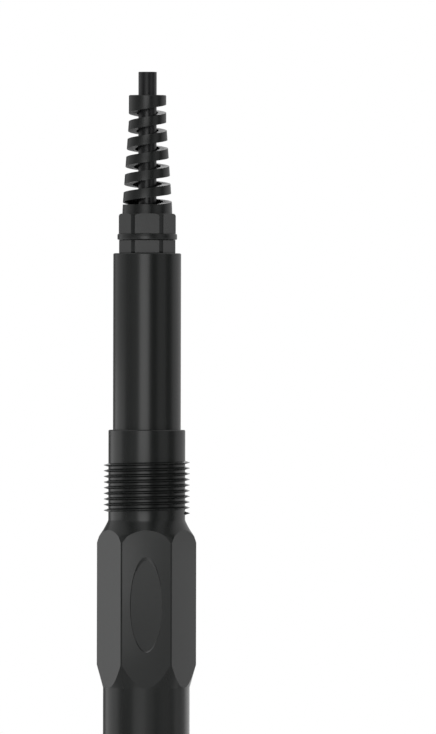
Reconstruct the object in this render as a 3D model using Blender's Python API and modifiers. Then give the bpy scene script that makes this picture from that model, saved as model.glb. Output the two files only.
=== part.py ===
"""Ammonium ion sensor: a slim probe that screws into its holder by a G3/4 pipe thread.

Metres, +Z up towards the cable. The origin lies on the probe's axis, in the plane where
the threaded stretch ends and the spanner hexagon begins.
"""
import math

import bmesh
import bpy
from mathutils import Matrix, Vector

# Facets of round pieces
LARGE_STEPS = 30
GLAND_STEPS = 24
SMALL_STEPS = 16
PASSAGE_STEPS = 12
CONTACT_STEPS = 10
RECESS_STEPS = 28
WIRE_RESOLUTION = 2
SHARP_ANGLE = 28.0

# Clearances between pieces that seat in each other, the small chamfer on their edges, the weld, and
# how far the stock round a milled hexagon reaches
FIT = 0.0003
SEAT = 0.0002
SEAL_FIT = 0.00012
EDGE = 0.0004
WELD = 0.000002
STOCK = 0.003

# Lengths of the four stretches of the probe
UPPER_TUBE_LENGTH = 0.053
CONNECTION_LENGTH = 0.027
GRIP_LENGTH = 0.087
HEAD_LENGTH = 0.075

# Housing with the collar, the pipe thread, the hexagon and the lower tube
STEM_DIAMETER = 0.0229
COLLAR_LENGTH = 0.009
THREAD_DIAMETER = 0.0262
THREAD_PITCH = 0.001814
THREAD_CREST = 0.0002
THREAD_BASE = 0.0014
NECK_LENGTH = 0.0012
HEXAGON_FLATS = 0.026
HEXAGON_CORNERS = 0.0298
HEXAGON_TOP_CONE = 0.005
HEXAGON_SHOULDER_STEP = 0.0006
HEXAGON_SHOULDER_LENGTH = 0.0019
HEXAGON_LENGTH = 0.0505
HEXAGON_END_CONE = 0.0068
LOWER_TUBE_DIAMETER = 0.0259
LOWER_TUBE_WALL = 0.002
HEAD_SOCKET_DEPTH = 0.0145
RECESS_WIDTH = 0.0096
RECESS_LENGTH = 0.0286
RECESS_DEPTH = 0.0005
RECESS_ROUNDNESS = 5
RECESS_TOP_MARGIN = 0.0114

# Upper tube
UPPER_TUBE_DIAMETER = 0.0202
INNER_BORE = 0.0156
TUBE_CAP = 0.008
TUBE_SPIGOT_DIAMETER = 0.0182
TUBE_SPIGOT_LENGTH = 0.0145
TUBE_SEAL_SECTION = 0.001
SEAL_GROOVE_WIDTH = 0.0014
SEAL_SPACING = 0.004

# Cable and its four cores
CABLE_DIAMETER = 0.0053
JACKET_WALL = 0.0007
CABLE_STUB_LENGTH = 0.007
CORE_DIAMETER = 0.0011
CORE_OFFSET = 0.00105
CORE_TIP_DEPTH = 0.0003
WIRE_TIP = 0.0008
WIRE_BEND_STEPS = 6

# Cable gland
GLAND_THREAD_DIAMETER = 0.012
GLAND_THREAD_LENGTH = 0.0075
GLAND_BORE = 0.0064
GLAND_HEX_FLATS = 0.015
GLAND_HEX_CORNERS = 0.0169
GLAND_HEX_LENGTH = 0.0038
GLAND_NECK_LENGTH = 0.0064
GLAND_SEAL_DIAMETER = 0.0092
GLAND_SEAL_LENGTH = 0.0055
GLAND_RING_SECTION = 0.0008
NUT_FLANGE_DIAMETER = 0.0178
NUT_FLANGE_LENGTH = 0.0017
NUT_FLATS = 0.0152
NUT_CORNERS = 0.0171
NUT_HEX_LENGTH = 0.006
NUT_CHAMFER = 0.0006
SPIRAL_BASE_DIAMETER = 0.0149
SPIRAL_BASE_LENGTH = 0.003
SPIRAL_LENGTH = 0.0326
SPIRAL_STRAIGHT_LENGTH = 0.008
SPIRAL_TIP_DIAMETER = 0.0112
SPIRAL_BASE_BORE = 0.0097
SPIRAL_TIP_BORE = 0.0064
SPIRAL_PITCH = 0.0053
SPIRAL_SLOT = 0.0021
SPIRAL_TOP_RING = 0.0029
SPIRAL_TOP_ANGLE = 40.0
CLAMP_LENGTH = 0.0032
CLAMP_BAND = 0.001
CLAMP_SLOT = 0.0008
CLAMP_SLOT_PAIRS = 3

# Circuit board and what stands on it
BOARD_THICKNESS = 0.0016
BOARD_TOP_MARGIN = 0.0105
BOARD_END_MARGIN = 0.006
SOLDER_GAP = 0.0001
CABLE_BLOCK_SIZE = (0.0104, 0.004, 0.007)
CABLE_BLOCK_PITCH = 0.00254
LEAD_BLOCK_SIZE = (0.0104, 0.004, 0.006)
LEAD_BLOCK_PITCH = 0.0025
POWER_MODULE_SIZE = (0.0118, 0.003, 0.011)
MICROCONTROLLER_SIZE = (0.007, 0.0014, 0.007)
TRANSCEIVER_SIZE = (0.0039, 0.0015, 0.0049)
AMPLIFIER_SIZE = (0.0039, 0.0015, 0.0049)
CRYSTAL_SIZE = (0.0035, 0.0013, 0.0105)
CAPACITOR_DIAMETER = 0.005
CAPACITOR_LENGTH = 0.011
CASE_CHAMFER_SHARE = 0.1
PIN_WIDTH = 0.0004
PIN_PITCH = 0.00127
PIN_REACH = 0.001

# How far down the board each component stands, as a share of the board's length
TRANSCEIVER_PLACE = 0.136
POWER_MODULE_PLACE = 0.183
CAPACITOR_PLACE = 0.323
CRYSTAL_PLACE = 0.433
MICROCONTROLLER_PLACE = 0.557
AMPLIFIER_PLACE = 0.76

# Sensing head with its sockets
HEAD_FLANGE_LENGTH = 0.003
HEAD_THREAD_DIAMETER = 0.022
HEAD_THREAD_LENGTH = 0.012
HEAD_NOSE_DIAMETER = 0.0208
HEAD_NOSE_LENGTH = 0.012
HEAD_SEAL_SECTION = 0.001
SOCKET_LENGTH = 0.016
LEAD_PASSAGE = 0.0022
LEAD_DIAMETER = 0.0009

# Electrodes and temperature probe
ELECTRODE_CIRCLE = 0.0053
ELECTRODE_DIAMETER = 0.008
ELECTRODE_BORE = 0.0052
ELECTRODE_LENGTH = 0.026
ELECTRODE_CAP = 0.005
ELECTRODE_COLLAR_STEP = 0.0007
ELECTRODE_COLLAR_LENGTH = 0.002
ELECTRODE_SEAL_SECTION = 0.0007
ELECTRODE_SEAL_DEPTH = 0.006
TIP_RECESS = 0.0009
TIP_RECESS_DIAMETER = 0.0064
JUNCTION_LENGTH = 0.003
CONTACT_DIAMETER = 0.0012
CONTACT_REACH = 0.001
INNER_WIRE_DIAMETER = 0.0006
INNER_WIRE_MARGIN = 0.004
PROBE_OFFSET = 0.0065
PROBE_DIAMETER = 0.004
PROBE_LENGTH = 0.024
PROBE_COLLAR_STEP = 0.0006
PROBE_LEAD_SPACING = 0.0013

# Guard round the electrodes
GUARD_WINDOW_WIDTH = 0.010
GUARD_WINDOW_LENGTH = 0.030
GUARD_WINDOW_STEPS = 6
GUARD_WINDOW_END_MARGIN = 0.012
GUARD_END_CHAMFER = 0.0009
GUARD_MOUTH_DEPTH = 0.0012
GUARD_SEAL_SECTION = 0.0007

# A facet's middle lies nearer the axis than its corners by this factor
LARGE_FACET = math.cos(math.pi / LARGE_STEPS)
SMALL_FACET = math.cos(math.pi / SMALL_STEPS)

# Heights of the joints between the pieces
COLLAR_TOP = CONNECTION_LENGTH
TUBE_TOP = COLLAR_TOP + UPPER_TUBE_LENGTH
HOUSING_END = -GRIP_LENGTH
GUARD_END = HOUSING_END - HEAD_LENGTH
GLAND_HEX_BOTTOM = TUBE_TOP + SEAT
GLAND_HEX_TOP = GLAND_HEX_BOTTOM + GLAND_HEX_LENGTH
NUT_BOTTOM = GLAND_HEX_TOP + SEAT
NUT_HEX_BOTTOM = NUT_BOTTOM + NUT_FLANGE_LENGTH
NUT_HEX_TOP = NUT_HEX_BOTTOM + NUT_HEX_LENGTH
SPIRAL_BASE = NUT_HEX_TOP + SPIRAL_BASE_LENGTH
SPIRAL_TOP = SPIRAL_BASE + SPIRAL_LENGTH
SPIRAL_TAPER_TOP = SPIRAL_TOP - SPIRAL_STRAIGHT_LENGTH
CABLE_TOP = SPIRAL_TOP + CABLE_STUB_LENGTH
GLAND_RIM = GLAND_HEX_TOP + GLAND_NECK_LENGTH
CLAMP_BOTTOM = GLAND_RIM + SEAT
CLAMP_TOP = CLAMP_BOTTOM + CLAMP_LENGTH
CLAMP_CONE_TOP = CLAMP_TOP + FIT
GLAND_THREAD_END = TUBE_TOP - GLAND_THREAD_LENGTH
TUBE_CAP_UNDERSIDE = TUBE_TOP - TUBE_CAP
TUBE_SPIGOT_END = COLLAR_TOP - TUBE_SPIGOT_LENGTH
HEAD_TOP = HOUSING_END + HEAD_SOCKET_DEPTH - FIT
HEAD_FLANGE_TOP = HOUSING_END - SEAT
HEAD_FLANGE_END = HEAD_FLANGE_TOP - HEAD_FLANGE_LENGTH
HEAD_THREAD_END = HEAD_FLANGE_END - HEAD_THREAD_LENGTH
HEAD_NOSE_END = HEAD_THREAD_END - HEAD_NOSE_LENGTH
SOCKET_TOP = HEAD_NOSE_END + SOCKET_LENGTH
ELECTRODE_END = HEAD_NOSE_END - ELECTRODE_LENGTH
GUARD_TOP = HEAD_FLANGE_END - SEAT
BOARD_TOP = TUBE_CAP_UNDERSIDE - BOARD_TOP_MARGIN
BOARD_END = HEAD_TOP + BOARD_END_MARGIN
CABLE_END = GLAND_THREAD_END - 2 * SEAT
RECESS_MIDDLE = -(RECESS_TOP_MARGIN + RECESS_LENGTH / 2)

# Radii that follow from the fits
TUBE_SPIGOT_BORE = TUBE_SPIGOT_DIAMETER / 2 + FIT
LOWER_TUBE_BORE = LOWER_TUBE_DIAMETER / 2 - LOWER_TUBE_WALL
HEAD_SPIGOT_RADIUS = LOWER_TUBE_BORE - FIT
SOCKET_RADIUS = ELECTRODE_DIAMETER / 2 + FIT
CLAMP_BORE = CABLE_DIAMETER / 2 + FIT
NUT_THREAD_BORE = GLAND_THREAD_DIAMETER / 2 + FIT
GUARD_BORE = HEAD_THREAD_DIAMETER / 2 + FIT
GUARD_MOUTH = GUARD_BORE + GUARD_SEAL_SECTION + SEAT
BOARD_HALF_WIDTH = math.sqrt((INNER_BORE / 2 * LARGE_FACET - FIT) ** 2 - (BOARD_THICKNESS / 2) ** 2)
BOARD_FACE = BOARD_THICKNESS / 2 + SOLDER_GAP

ELECTRODE_PLACES = {"ammonium": -ELECTRODE_CIRCLE, "reference": ELECTRODE_CIRCLE}

# Finishes: a colour, a roughness and a metallic value
PLASTIC = ("#2a2b2b", 0.38, 0.0)
RUBBER = ("#1b1c1c", 0.7, 0.0)
JACKET = ("#222323", 0.55, 0.0)
CLAMP_NYLON = ("#343536", 0.45, 0.0)
BOARD_RESIN = ("#1f5a38", 0.45, 0.0)
DARK_CASE = ("#1a1b1c", 0.5, 0.0)
METAL_CAN = ("#b9bbbd", 0.3, 1.0)
TERMINAL_BLOCK = ("#2f6f45", 0.5, 0.0)
HEADER_SHELL = ("#d8d5c8", 0.5, 0.0)
CAPACITOR_SLEEVE = ("#26313f", 0.4, 0.0)
CARTRIDGE = ("#35383a", 0.35, 0.0)
SILVER_WIRE = ("#c9c9c6", 0.3, 1.0)
MEMBRANE = ("#cdb98a", 0.35, 0.0)
POROUS_PLUG = ("#e6e4dc", 0.8, 0.0)
SHEATH_STEEL = ("#b4b7ba", 0.28, 1.0)
BLACK_WIRE = ("#1d1d1e", 0.5, 0.0)
RED_WIRE = ("#a32420", 0.5, 0.0)
GREEN_WIRE = ("#2d7a3c", 0.5, 0.0)
WHITE_WIRE = ("#d9d8d2", 0.5, 0.0)
YELLOW_WIRE = ("#c8a431", 0.5, 0.0)


def clear_scene():
    for thing in list(bpy.data.objects):
        bpy.data.objects.remove(thing, do_unlink=True)


def new_collection(name):
    collection = bpy.data.collections.new(name)
    bpy.context.scene.collection.children.link(collection)
    return collection


def linear(hex_colour):
    """Turn an sRGB hex colour into the linear values that a shader takes."""
    channels = [int(hex_colour[i:i + 2], 16) / 255 for i in (1, 3, 5)]
    return [c / 12.92 if c <= 0.04045 else ((c + 0.055) / 1.055) ** 2.4 for c in channels] + [1.0]


def give_material(piece, finish):
    """Give the piece a material of its own."""
    colour, roughness, metallic = finish
    material = bpy.data.materials.new(piece.name + "_material")
    material.use_nodes = True
    shader = material.node_tree.nodes["Principled BSDF"]
    shader.inputs["Base Color"].default_value = linear(colour)
    shader.inputs["Roughness"].default_value = roughness
    shader.inputs["Metallic"].default_value = metallic
    material.diffuse_color = linear(colour)
    piece.data.materials.clear()
    piece.data.materials.append(material)


def place(mesh_or_curve, name, collection, location=(0.0, 0.0, 0.0)):
    piece = bpy.data.objects.new(name, mesh_or_curve)
    piece.location = location
    collection.objects.link(piece)
    if collection is GUIDES:
        piece.hide_render = True
        piece.display_type = "WIRE"
    return piece


def turned(name, outline, steps, collection, location=(0.0, 0.0, 0.0), ring=True):
    """Turn an (r, z) outline about Z. It runs down the outer side, and a ring's comes back up inside."""
    mesh = bpy.data.meshes.new(name)
    edges = [(i, i + 1) for i in range(len(outline) - 1)]
    if ring:
        edges.append((len(outline) - 1, 0))
    mesh.from_pydata([(r, 0.0, z) for r, z in outline], edges, [])
    piece = place(mesh, name, collection, location)
    screw = piece.modifiers.new("Turn", "SCREW")
    screw.steps = screw.render_steps = steps
    screw.use_merge_vertices = True
    screw.merge_threshold = 0.000001
    return piece


def cylinder_cutter(name, radius, low, high, centre, steps=SMALL_STEPS):
    mesh = bpy.data.meshes.new(name)
    shape = bmesh.new()
    bmesh.ops.create_cone(shape, cap_ends=True, segments=steps, radius1=radius, radius2=radius,
                          depth=high - low)
    shape.to_mesh(mesh)
    shape.free()
    return place(mesh, name, GUIDES, (centre[0], centre[1], (low + high) / 2))


def box(name, size, centre, collection, chamfer=0.0):
    """A box with its size applied to the mesh, and small chamfers where they are asked for."""
    mesh = bpy.data.meshes.new(name)
    shape = bmesh.new()
    bmesh.ops.create_cube(shape, size=1.0, matrix=Matrix.Diagonal((*size, 1.0)))
    if chamfer:
        bmesh.ops.bevel(shape, geom=list(shape.edges), offset=chamfer, affect="EDGES", segments=1,
                        profile=0.5, material=-1)
    shape.to_mesh(mesh)
    shape.free()
    return place(mesh, name, collection, centre)


def use(piece, tool, operation):
    """Cut a piece with a cutter, or join a shape to it."""
    boolean = piece.modifiers.new(tool.name, "BOOLEAN")
    boolean.operation = operation
    boolean.solver = "EXACT"
    boolean.object = tool


def cut(piece, cutter):
    use(piece, cutter, "DIFFERENCE")


def join(piece, shape):
    use(piece, shape, "UNION")


def flat_outline(name, outlines, thickness, collection):
    """A plate in the XY plane, filled between its closed outlines and centred on the plane."""
    curve = bpy.data.curves.new(name, "CURVE")
    curve.dimensions = "2D"
    curve.fill_mode = "BOTH"
    curve.extrude = thickness / 2
    for outline in outlines:
        spline = curve.splines.new("POLY")
        spline.points.add(len(outline) - 1)
        for point, (x, y) in zip(spline.points, outline):
            point.co = (x, y, 0.0, 1.0)
        spline.use_cyclic_u = True
    guide = bpy.data.objects.new(name + "_curve", curve)
    bpy.context.scene.collection.objects.link(guide)
    graph = bpy.context.evaluated_depsgraph_get()
    mesh = bpy.data.meshes.new_from_object(guide.evaluated_get(graph), depsgraph=graph)
    mesh.name = name
    bpy.data.objects.remove(guide, do_unlink=True)
    shape = bmesh.new()
    shape.from_mesh(mesh)
    bmesh.ops.remove_doubles(shape, verts=list(shape.verts), dist=0.000001)
    bmesh.ops.recalc_face_normals(shape, faces=list(shape.faces))
    shape.to_mesh(mesh)
    shape.free()
    return place(mesh, name, collection)


def circle_points(radius, count):
    angles = [2 * math.pi * i / count for i in range(count)]
    return [(radius * math.cos(a), radius * math.sin(a)) for a in angles]


def hexagon_sleeve(name, flats, outer_diameter, low, high):
    """What is milled away round a hexagon whose flat faces the front: a disc with a hexagonal hole."""
    corner = flats / 2 / math.cos(math.pi / 6)
    outlines = [circle_points(outer_diameter / 2 + STOCK, GLAND_STEPS), circle_points(corner, 6)]
    sleeve = flat_outline(name, outlines, high - low, GUIDES)
    sleeve.location.z = (low + high) / 2
    return sleeve


def helical_bar(name, section, pitch, first_z, first_step, steps, steps_per_turn):
    """Sweep a closed (r, z) section up a right-hand helix about Z, from first_z at its first step.

    It has as many steps in a turn as the turned piece that it cuts or joins, so their edges meet.
    """
    step_angle = 2 * math.pi / steps_per_turn
    turn = Matrix.Rotation(first_step * step_angle, 4, "Z")
    mesh = bpy.data.meshes.new(name)
    shape = bmesh.new()
    corners = [shape.verts.new(turn @ Vector((r, 0.0, first_z + z))) for r, z in section]
    face = shape.faces.new(corners)
    bmesh.ops.spin(shape, geom=[face, *face.edges, *corners], cent=(0.0, 0.0, 0.0), axis=(0.0, 0.0, 1.0),
                   dvec=(0.0, 0.0, pitch / steps_per_turn), angle=step_angle * steps,
                   steps=steps, use_merge=False, use_duplicate=False)
    bmesh.ops.recalc_face_normals(shape, faces=list(shape.faces))
    shape.to_mesh(mesh)
    shape.free()
    return place(mesh, name, GUIDES)


def seal_seat(bore_radius, section):
    """Middle radius of a ring inside a bore, and the radius of the groove's floor under it."""
    middle = bore_radius * LARGE_FACET - SEAL_FIT - section / 2
    floor = (middle - section / 2) * SMALL_FACET - SEAL_FIT
    return middle, floor


def seal_ring(name, middle_radius, section, z, location=(0.0, 0.0)):
    """A rubber ring of round section, turned from a hexagonal outline."""
    outline = [(middle_radius + section / 2 * math.cos(a), section / 2 * math.sin(a))
               for a in [math.radians(90 - 60 * i) for i in range(6)]]
    ring = turned(name, outline, SMALL_STEPS, PIECES, (location[0], location[1], z))
    give_material(ring, RUBBER)


def groove(radius, floor, z):
    """The four corners of a ring groove, for an outline that runs down its outer side."""
    half = SEAL_GROOVE_WIDTH / 2
    return [(radius, z + half), (floor, z + half), (floor, z - half), (radius, z - half)]


def s_bend(start, end, steps):
    """Points from one place to another along a bend that is upright at both ends."""
    start, end = Vector(start), Vector(end)
    route = []
    for i in range(steps + 1):
        t = i / steps
        point = start.lerp(end, t * t * (3 - 2 * t))
        point.z = start.z + (end.z - start.z) * t
        route.append(point)
    return route


def wire(name, points, diameter, finish):
    curve = bpy.data.curves.new(name, "CURVE")
    curve.dimensions = "3D"
    curve.bevel_depth = diameter / 2
    curve.bevel_resolution = WIRE_RESOLUTION
    curve.use_fill_caps = True
    spline = curve.splines.new("POLY")
    spline.points.add(len(points) - 1)
    for spot, point in zip(spline.points, points):
        spot.co = (*point, 1.0)
    give_material(place(curve, name, PIECES), finish)


def settle(piece):
    """Apply a mesh piece's modifiers, weld its seams and shade it smooth, with its edges sharp."""
    materials = list(piece.data.materials)
    graph = bpy.context.evaluated_depsgraph_get()
    mesh = bpy.data.meshes.new_from_object(piece.evaluated_get(graph), depsgraph=graph)
    piece.modifiers.clear()
    piece.data = mesh
    mesh.name = piece.name
    mesh.materials.clear()
    for material in materials:
        mesh.materials.append(material)
    shape = bmesh.new()
    shape.from_mesh(mesh)
    bmesh.ops.remove_doubles(shape, verts=list(shape.verts), dist=WELD)
    shape.to_mesh(mesh)
    shape.free()
    mesh.shade_smooth()
    mesh.set_sharp_from_angle(angle=math.radians(SHARP_ANGLE))


def make_cable():
    """The cable's jacket, and its four cores from the cut end down to the terminal block."""
    radius = CABLE_DIAMETER / 2
    bore = radius - JACKET_WALL
    outline = [(radius, CABLE_TOP), (radius, CABLE_END), (bore, CABLE_END), (bore, CABLE_TOP)]
    jacket = turned("cable_jacket", outline, SMALL_STEPS, PIECES)
    give_material(jacket, JACKET)
    block_y = -(BOARD_FACE + CABLE_BLOCK_SIZE[1] / 2)
    cores = [("black", 225, -1.5, BLACK_WIRE), ("red", 135, -0.5, RED_WIRE),
             ("green", 45, 0.5, GREEN_WIRE), ("white", 315, 1.5, WHITE_WIRE)]
    for colour_name, angle, place_in_block, finish in cores:
        x = CORE_OFFSET * math.cos(math.radians(angle))
        y = CORE_OFFSET * math.sin(math.radians(angle))
        end_x = place_in_block * CABLE_BLOCK_PITCH
        bend = s_bend((x, y, CABLE_END), (end_x, block_y, BOARD_TOP + WIRE_TIP), WIRE_BEND_STEPS)
        points = [(x, y, CABLE_TOP - CORE_TIP_DEPTH), *bend, (end_x, block_y, BOARD_TOP + SEAT)]
        wire("cable_core_" + colour_name, points, CORE_DIAMETER, finish)


def clamp_seat(z):
    """Radius of the cone in the nut that squeezes the clamp, at a height."""
    share = (z - CLAMP_BOTTOM) / (CLAMP_CONE_TOP - CLAMP_BOTTOM)
    return NUT_THREAD_BORE + (SPIRAL_BASE_BORE / 2 - NUT_THREAD_BORE) * share


def make_gland_nut():
    """Hexagon nut, round flange and spiral strain relief, moulded as one."""
    flange = NUT_FLANGE_DIAMETER / 2
    outline = [
        (SPIRAL_TIP_DIAMETER / 2 - EDGE / 2, SPIRAL_TOP),
        (SPIRAL_TIP_DIAMETER / 2, SPIRAL_TOP - EDGE / 2),
        (SPIRAL_TIP_DIAMETER / 2, SPIRAL_TAPER_TOP),
        (SPIRAL_BASE_DIAMETER / 2, SPIRAL_BASE),
        (SPIRAL_BASE_DIAMETER / 2, NUT_HEX_TOP),
        (NUT_CORNERS / 2, NUT_HEX_TOP - NUT_CHAMFER),
        (NUT_CORNERS / 2, NUT_HEX_BOTTOM),
        (flange, NUT_BOTTOM + NUT_FLANGE_LENGTH / 2),
        (flange, NUT_BOTTOM),
        (NUT_THREAD_BORE, NUT_BOTTOM),
        (clamp_seat(CLAMP_BOTTOM), CLAMP_BOTTOM),
        (clamp_seat(CLAMP_CONE_TOP), CLAMP_CONE_TOP),
        (SPIRAL_TIP_BORE / 2, SPIRAL_TAPER_TOP),
        (SPIRAL_TIP_BORE / 2, SPIRAL_TOP),
    ]
    nut = turned("gland_nut", outline, GLAND_STEPS, PIECES)
    cut(nut, hexagon_sleeve("nut_hexagon", NUT_FLATS, NUT_CORNERS, NUT_HEX_BOTTOM, NUT_HEX_TOP))
    cut(nut, spiral_slot())
    give_material(nut, PLASTIC)


def spiral_slot():
    """The helical slot that makes the strain relief bend. It runs out at the base ring's flat top."""
    low, high = SPIRAL_TIP_BORE / 2 - FIT, SPIRAL_BASE_DIAMETER / 2 + EDGE
    half = SPIRAL_SLOT / 2
    section = [(low, -half), (high, -half), (high, half), (low, half)]
    top_z = SPIRAL_TOP - SPIRAL_TOP_RING - half
    steps = math.ceil((top_z - SPIRAL_BASE + SPIRAL_SLOT) / SPIRAL_PITCH * GLAND_STEPS)
    top_step = round(SPIRAL_TOP_ANGLE / 360 * GLAND_STEPS)
    cutter = helical_bar("spiral_slot", section, SPIRAL_PITCH, top_z - SPIRAL_PITCH * steps / GLAND_STEPS,
                         top_step - steps, steps, GLAND_STEPS)
    shape = bmesh.new()
    shape.from_mesh(cutter.data)
    everything = [*shape.verts, *shape.edges, *shape.faces]
    bmesh.ops.bisect_plane(shape, geom=everything, dist=0.0000001, plane_co=(0.0, 0.0, SPIRAL_BASE),
                           plane_no=(0.0, 0.0, -1.0), clear_outer=True)
    open_edges = [edge for edge in shape.edges if edge.is_boundary]
    bmesh.ops.holes_fill(shape, edges=open_edges, sides=0)
    bmesh.ops.recalc_face_normals(shape, faces=list(shape.faces))
    shape.to_mesh(cutter.data)
    shape.free()
    return cutter


def make_gland_inside():
    """The split clamp and the rubber seal that the nut squeezes, and the gland's body and ring."""
    outline = [(clamp_seat(CLAMP_TOP) - FIT, CLAMP_TOP), (clamp_seat(CLAMP_BOTTOM) - FIT, CLAMP_BOTTOM),
               (CLAMP_BORE, CLAMP_BOTTOM), (CLAMP_BORE, CLAMP_TOP)]
    clamp = turned("gland_clamp", outline, GLAND_STEPS, PIECES)
    for i in range(CLAMP_SLOT_PAIRS):
        slot = box("clamp_slot_%d" % (i + 1), (2 * NUT_THREAD_BORE, CLAMP_SLOT, CLAMP_LENGTH),
                   (0.0, 0.0, CLAMP_BOTTOM + CLAMP_BAND + CLAMP_LENGTH / 2), GUIDES)
        slot.rotation_euler.z = math.pi * i / CLAMP_SLOT_PAIRS + math.radians(90 / GLAND_STEPS)
        cut(clamp, slot)
    give_material(clamp, CLAMP_NYLON)

    seal_top = GLAND_RIM - SEAT
    seal_low = seal_top - GLAND_SEAL_LENGTH
    radius = GLAND_SEAL_DIAMETER / 2
    outline = [(radius - EDGE, seal_top), (radius, seal_top - EDGE), (radius, seal_low),
               (CLAMP_BORE, seal_low), (CLAMP_BORE, seal_top)]
    seal = turned("gland_seal", outline, SMALL_STEPS, PIECES)
    give_material(seal, RUBBER)

    thread = GLAND_THREAD_DIAMETER / 2
    corner = GLAND_HEX_CORNERS / 2
    seat = radius + FIT
    outline = [(thread - EDGE, GLAND_RIM), (thread, GLAND_RIM - EDGE), (thread, GLAND_HEX_TOP),
               (corner - EDGE, GLAND_HEX_TOP), (corner, GLAND_HEX_TOP - EDGE / 2),
               (corner, GLAND_HEX_BOTTOM), (thread, GLAND_HEX_BOTTOM), (thread, GLAND_THREAD_END + EDGE),
               (thread - EDGE, GLAND_THREAD_END), (GLAND_BORE / 2, GLAND_THREAD_END),
               (GLAND_BORE / 2, seal_low - SEAT), (seat, seal_low - SEAT), (seat, GLAND_RIM)]
    body = turned("gland_body", outline, GLAND_STEPS, PIECES)
    cut(body, hexagon_sleeve("gland_hexagon", GLAND_HEX_FLATS, GLAND_HEX_CORNERS,
                             GLAND_HEX_BOTTOM - EDGE, GLAND_HEX_TOP + EDGE))
    give_material(body, PLASTIC)

    middle = thread + FIT + GLAND_RING_SECTION / 2
    seal_ring("gland_o_ring", middle, GLAND_RING_SECTION, TUBE_TOP - SEAT - GLAND_RING_SECTION / 2)


def make_upper_tube():
    """Closed tube with a tapped top, and a spigot with two seals in the housing."""
    tube = UPPER_TUBE_DIAMETER / 2
    spigot = TUBE_SPIGOT_DIAMETER / 2
    middle, floor = seal_seat(TUBE_SPIGOT_BORE, TUBE_SEAL_SECTION)
    shoulder = COLLAR_TOP + SEAT
    seal_z = [shoulder - SEAL_SPACING, shoulder - 2 * SEAL_SPACING]
    hole = GLAND_THREAD_DIAMETER / 2 + FIT
    ring_seat = GLAND_THREAD_DIAMETER / 2 + FIT + GLAND_RING_SECTION + FIT
    ring_floor = TUBE_TOP - GLAND_RING_SECTION - 2 * SEAT
    outline = [(tube - EDGE, TUBE_TOP), (tube, TUBE_TOP - EDGE), (tube, shoulder), (spigot, shoulder)]
    for z in seal_z:
        outline += groove(spigot, floor, z)
    outline += [(spigot, TUBE_SPIGOT_END), (INNER_BORE / 2, TUBE_SPIGOT_END),
                (INNER_BORE / 2, TUBE_CAP_UNDERSIDE), (hole, TUBE_CAP_UNDERSIDE), (hole, ring_floor),
                (ring_seat, ring_floor), (ring_seat, TUBE_TOP)]
    piece = turned("upper_tube", outline, LARGE_STEPS, PIECES)
    give_material(piece, PLASTIC)
    for number, z in enumerate(seal_z, start=1):
        seal_ring("upper_tube_o_ring_%d" % number, middle, TUBE_SEAL_SECTION, z)


def thread_ridge():
    """The pipe thread's ridge, sunk a little into the core that it is joined to."""
    root = STEM_DIAMETER / 2
    crest = THREAD_DIAMETER / 2
    sunk = EDGE
    slope = (THREAD_BASE - THREAD_CREST) / 2 / (crest - root)
    base = THREAD_BASE / 2 + slope * sunk
    tip = THREAD_CREST / 2
    section = [(root - sunk, -base), (crest, -tip), (crest, tip), (root - sunk, base)]
    first_z = NECK_LENGTH + THREAD_BASE / 2
    last_z = COLLAR_TOP - COLLAR_LENGTH - THREAD_BASE / 2
    steps = round((last_z - first_z) / THREAD_PITCH * LARGE_STEPS)
    first_step = LARGE_STEPS // 2
    return helical_bar("thread_ridge", section, THREAD_PITCH, first_z, first_step, steps, LARGE_STEPS)


def oval_recess():
    """The shallow oval dish in the front flat, left by a stretched ball."""
    flat = HEXAGON_FLATS / 2
    half_width = RECESS_WIDTH / 2
    # the ball is stretched so that it gives the dish its width at the flat and its depth under it
    depth = RECESS_ROUNDNESS * RECESS_DEPTH
    reach = math.sqrt(1 - ((depth - RECESS_DEPTH) / depth) ** 2)
    mesh = bpy.data.meshes.new("oval_recess")
    shape = bmesh.new()
    size = Matrix.Diagonal((half_width / reach, depth, RECESS_LENGTH / 2 / reach, 1.0))
    bmesh.ops.create_uvsphere(shape, u_segments=RECESS_STEPS, v_segments=RECESS_STEPS - 2, radius=1.0,
                              matrix=size)
    shape.to_mesh(mesh)
    shape.free()
    return place(mesh, "oval_recess", GUIDES, (0.0, -(flat + depth - RECESS_DEPTH), RECESS_MIDDLE))


def make_main_housing():
    """Collar, pipe thread, neck, spanner hexagon and lower tube, moulded as one."""
    stem = STEM_DIAMETER / 2
    corner = HEXAGON_CORNERS / 2
    lower = LOWER_TUBE_DIAMETER / 2
    shoulder = TUBE_SPIGOT_END - FIT
    head_shoulder = HOUSING_END + HEAD_SOCKET_DEPTH
    outline = [
        (stem - EDGE, COLLAR_TOP), (stem, COLLAR_TOP - EDGE), (stem, 0.0),
        (corner - HEXAGON_SHOULDER_STEP, -HEXAGON_TOP_CONE),
        (corner, -HEXAGON_TOP_CONE - HEXAGON_SHOULDER_LENGTH), (corner, -HEXAGON_LENGTH + HEXAGON_END_CONE),
        (lower, -HEXAGON_LENGTH), (lower, HOUSING_END + EDGE), (lower - EDGE, HOUSING_END),
        (LOWER_TUBE_BORE, HOUSING_END), (LOWER_TUBE_BORE, head_shoulder), (INNER_BORE / 2, head_shoulder),
        (INNER_BORE / 2, shoulder), (TUBE_SPIGOT_BORE, shoulder), (TUBE_SPIGOT_BORE, COLLAR_TOP),
    ]
    housing = turned("main_housing", outline, LARGE_STEPS, PIECES)
    cut(housing, hexagon_sleeve("grip_hexagon", HEXAGON_FLATS, HEXAGON_CORNERS,
                                -HEXAGON_LENGTH - EDGE, NECK_LENGTH / 2))
    cut(housing, oval_recess())
    join(housing, thread_ridge())
    give_material(housing, PLASTIC)


def board_height(share):
    """Height of a place on the board, from its share of the way down."""
    return BOARD_TOP - share * (BOARD_TOP - BOARD_END)


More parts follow.
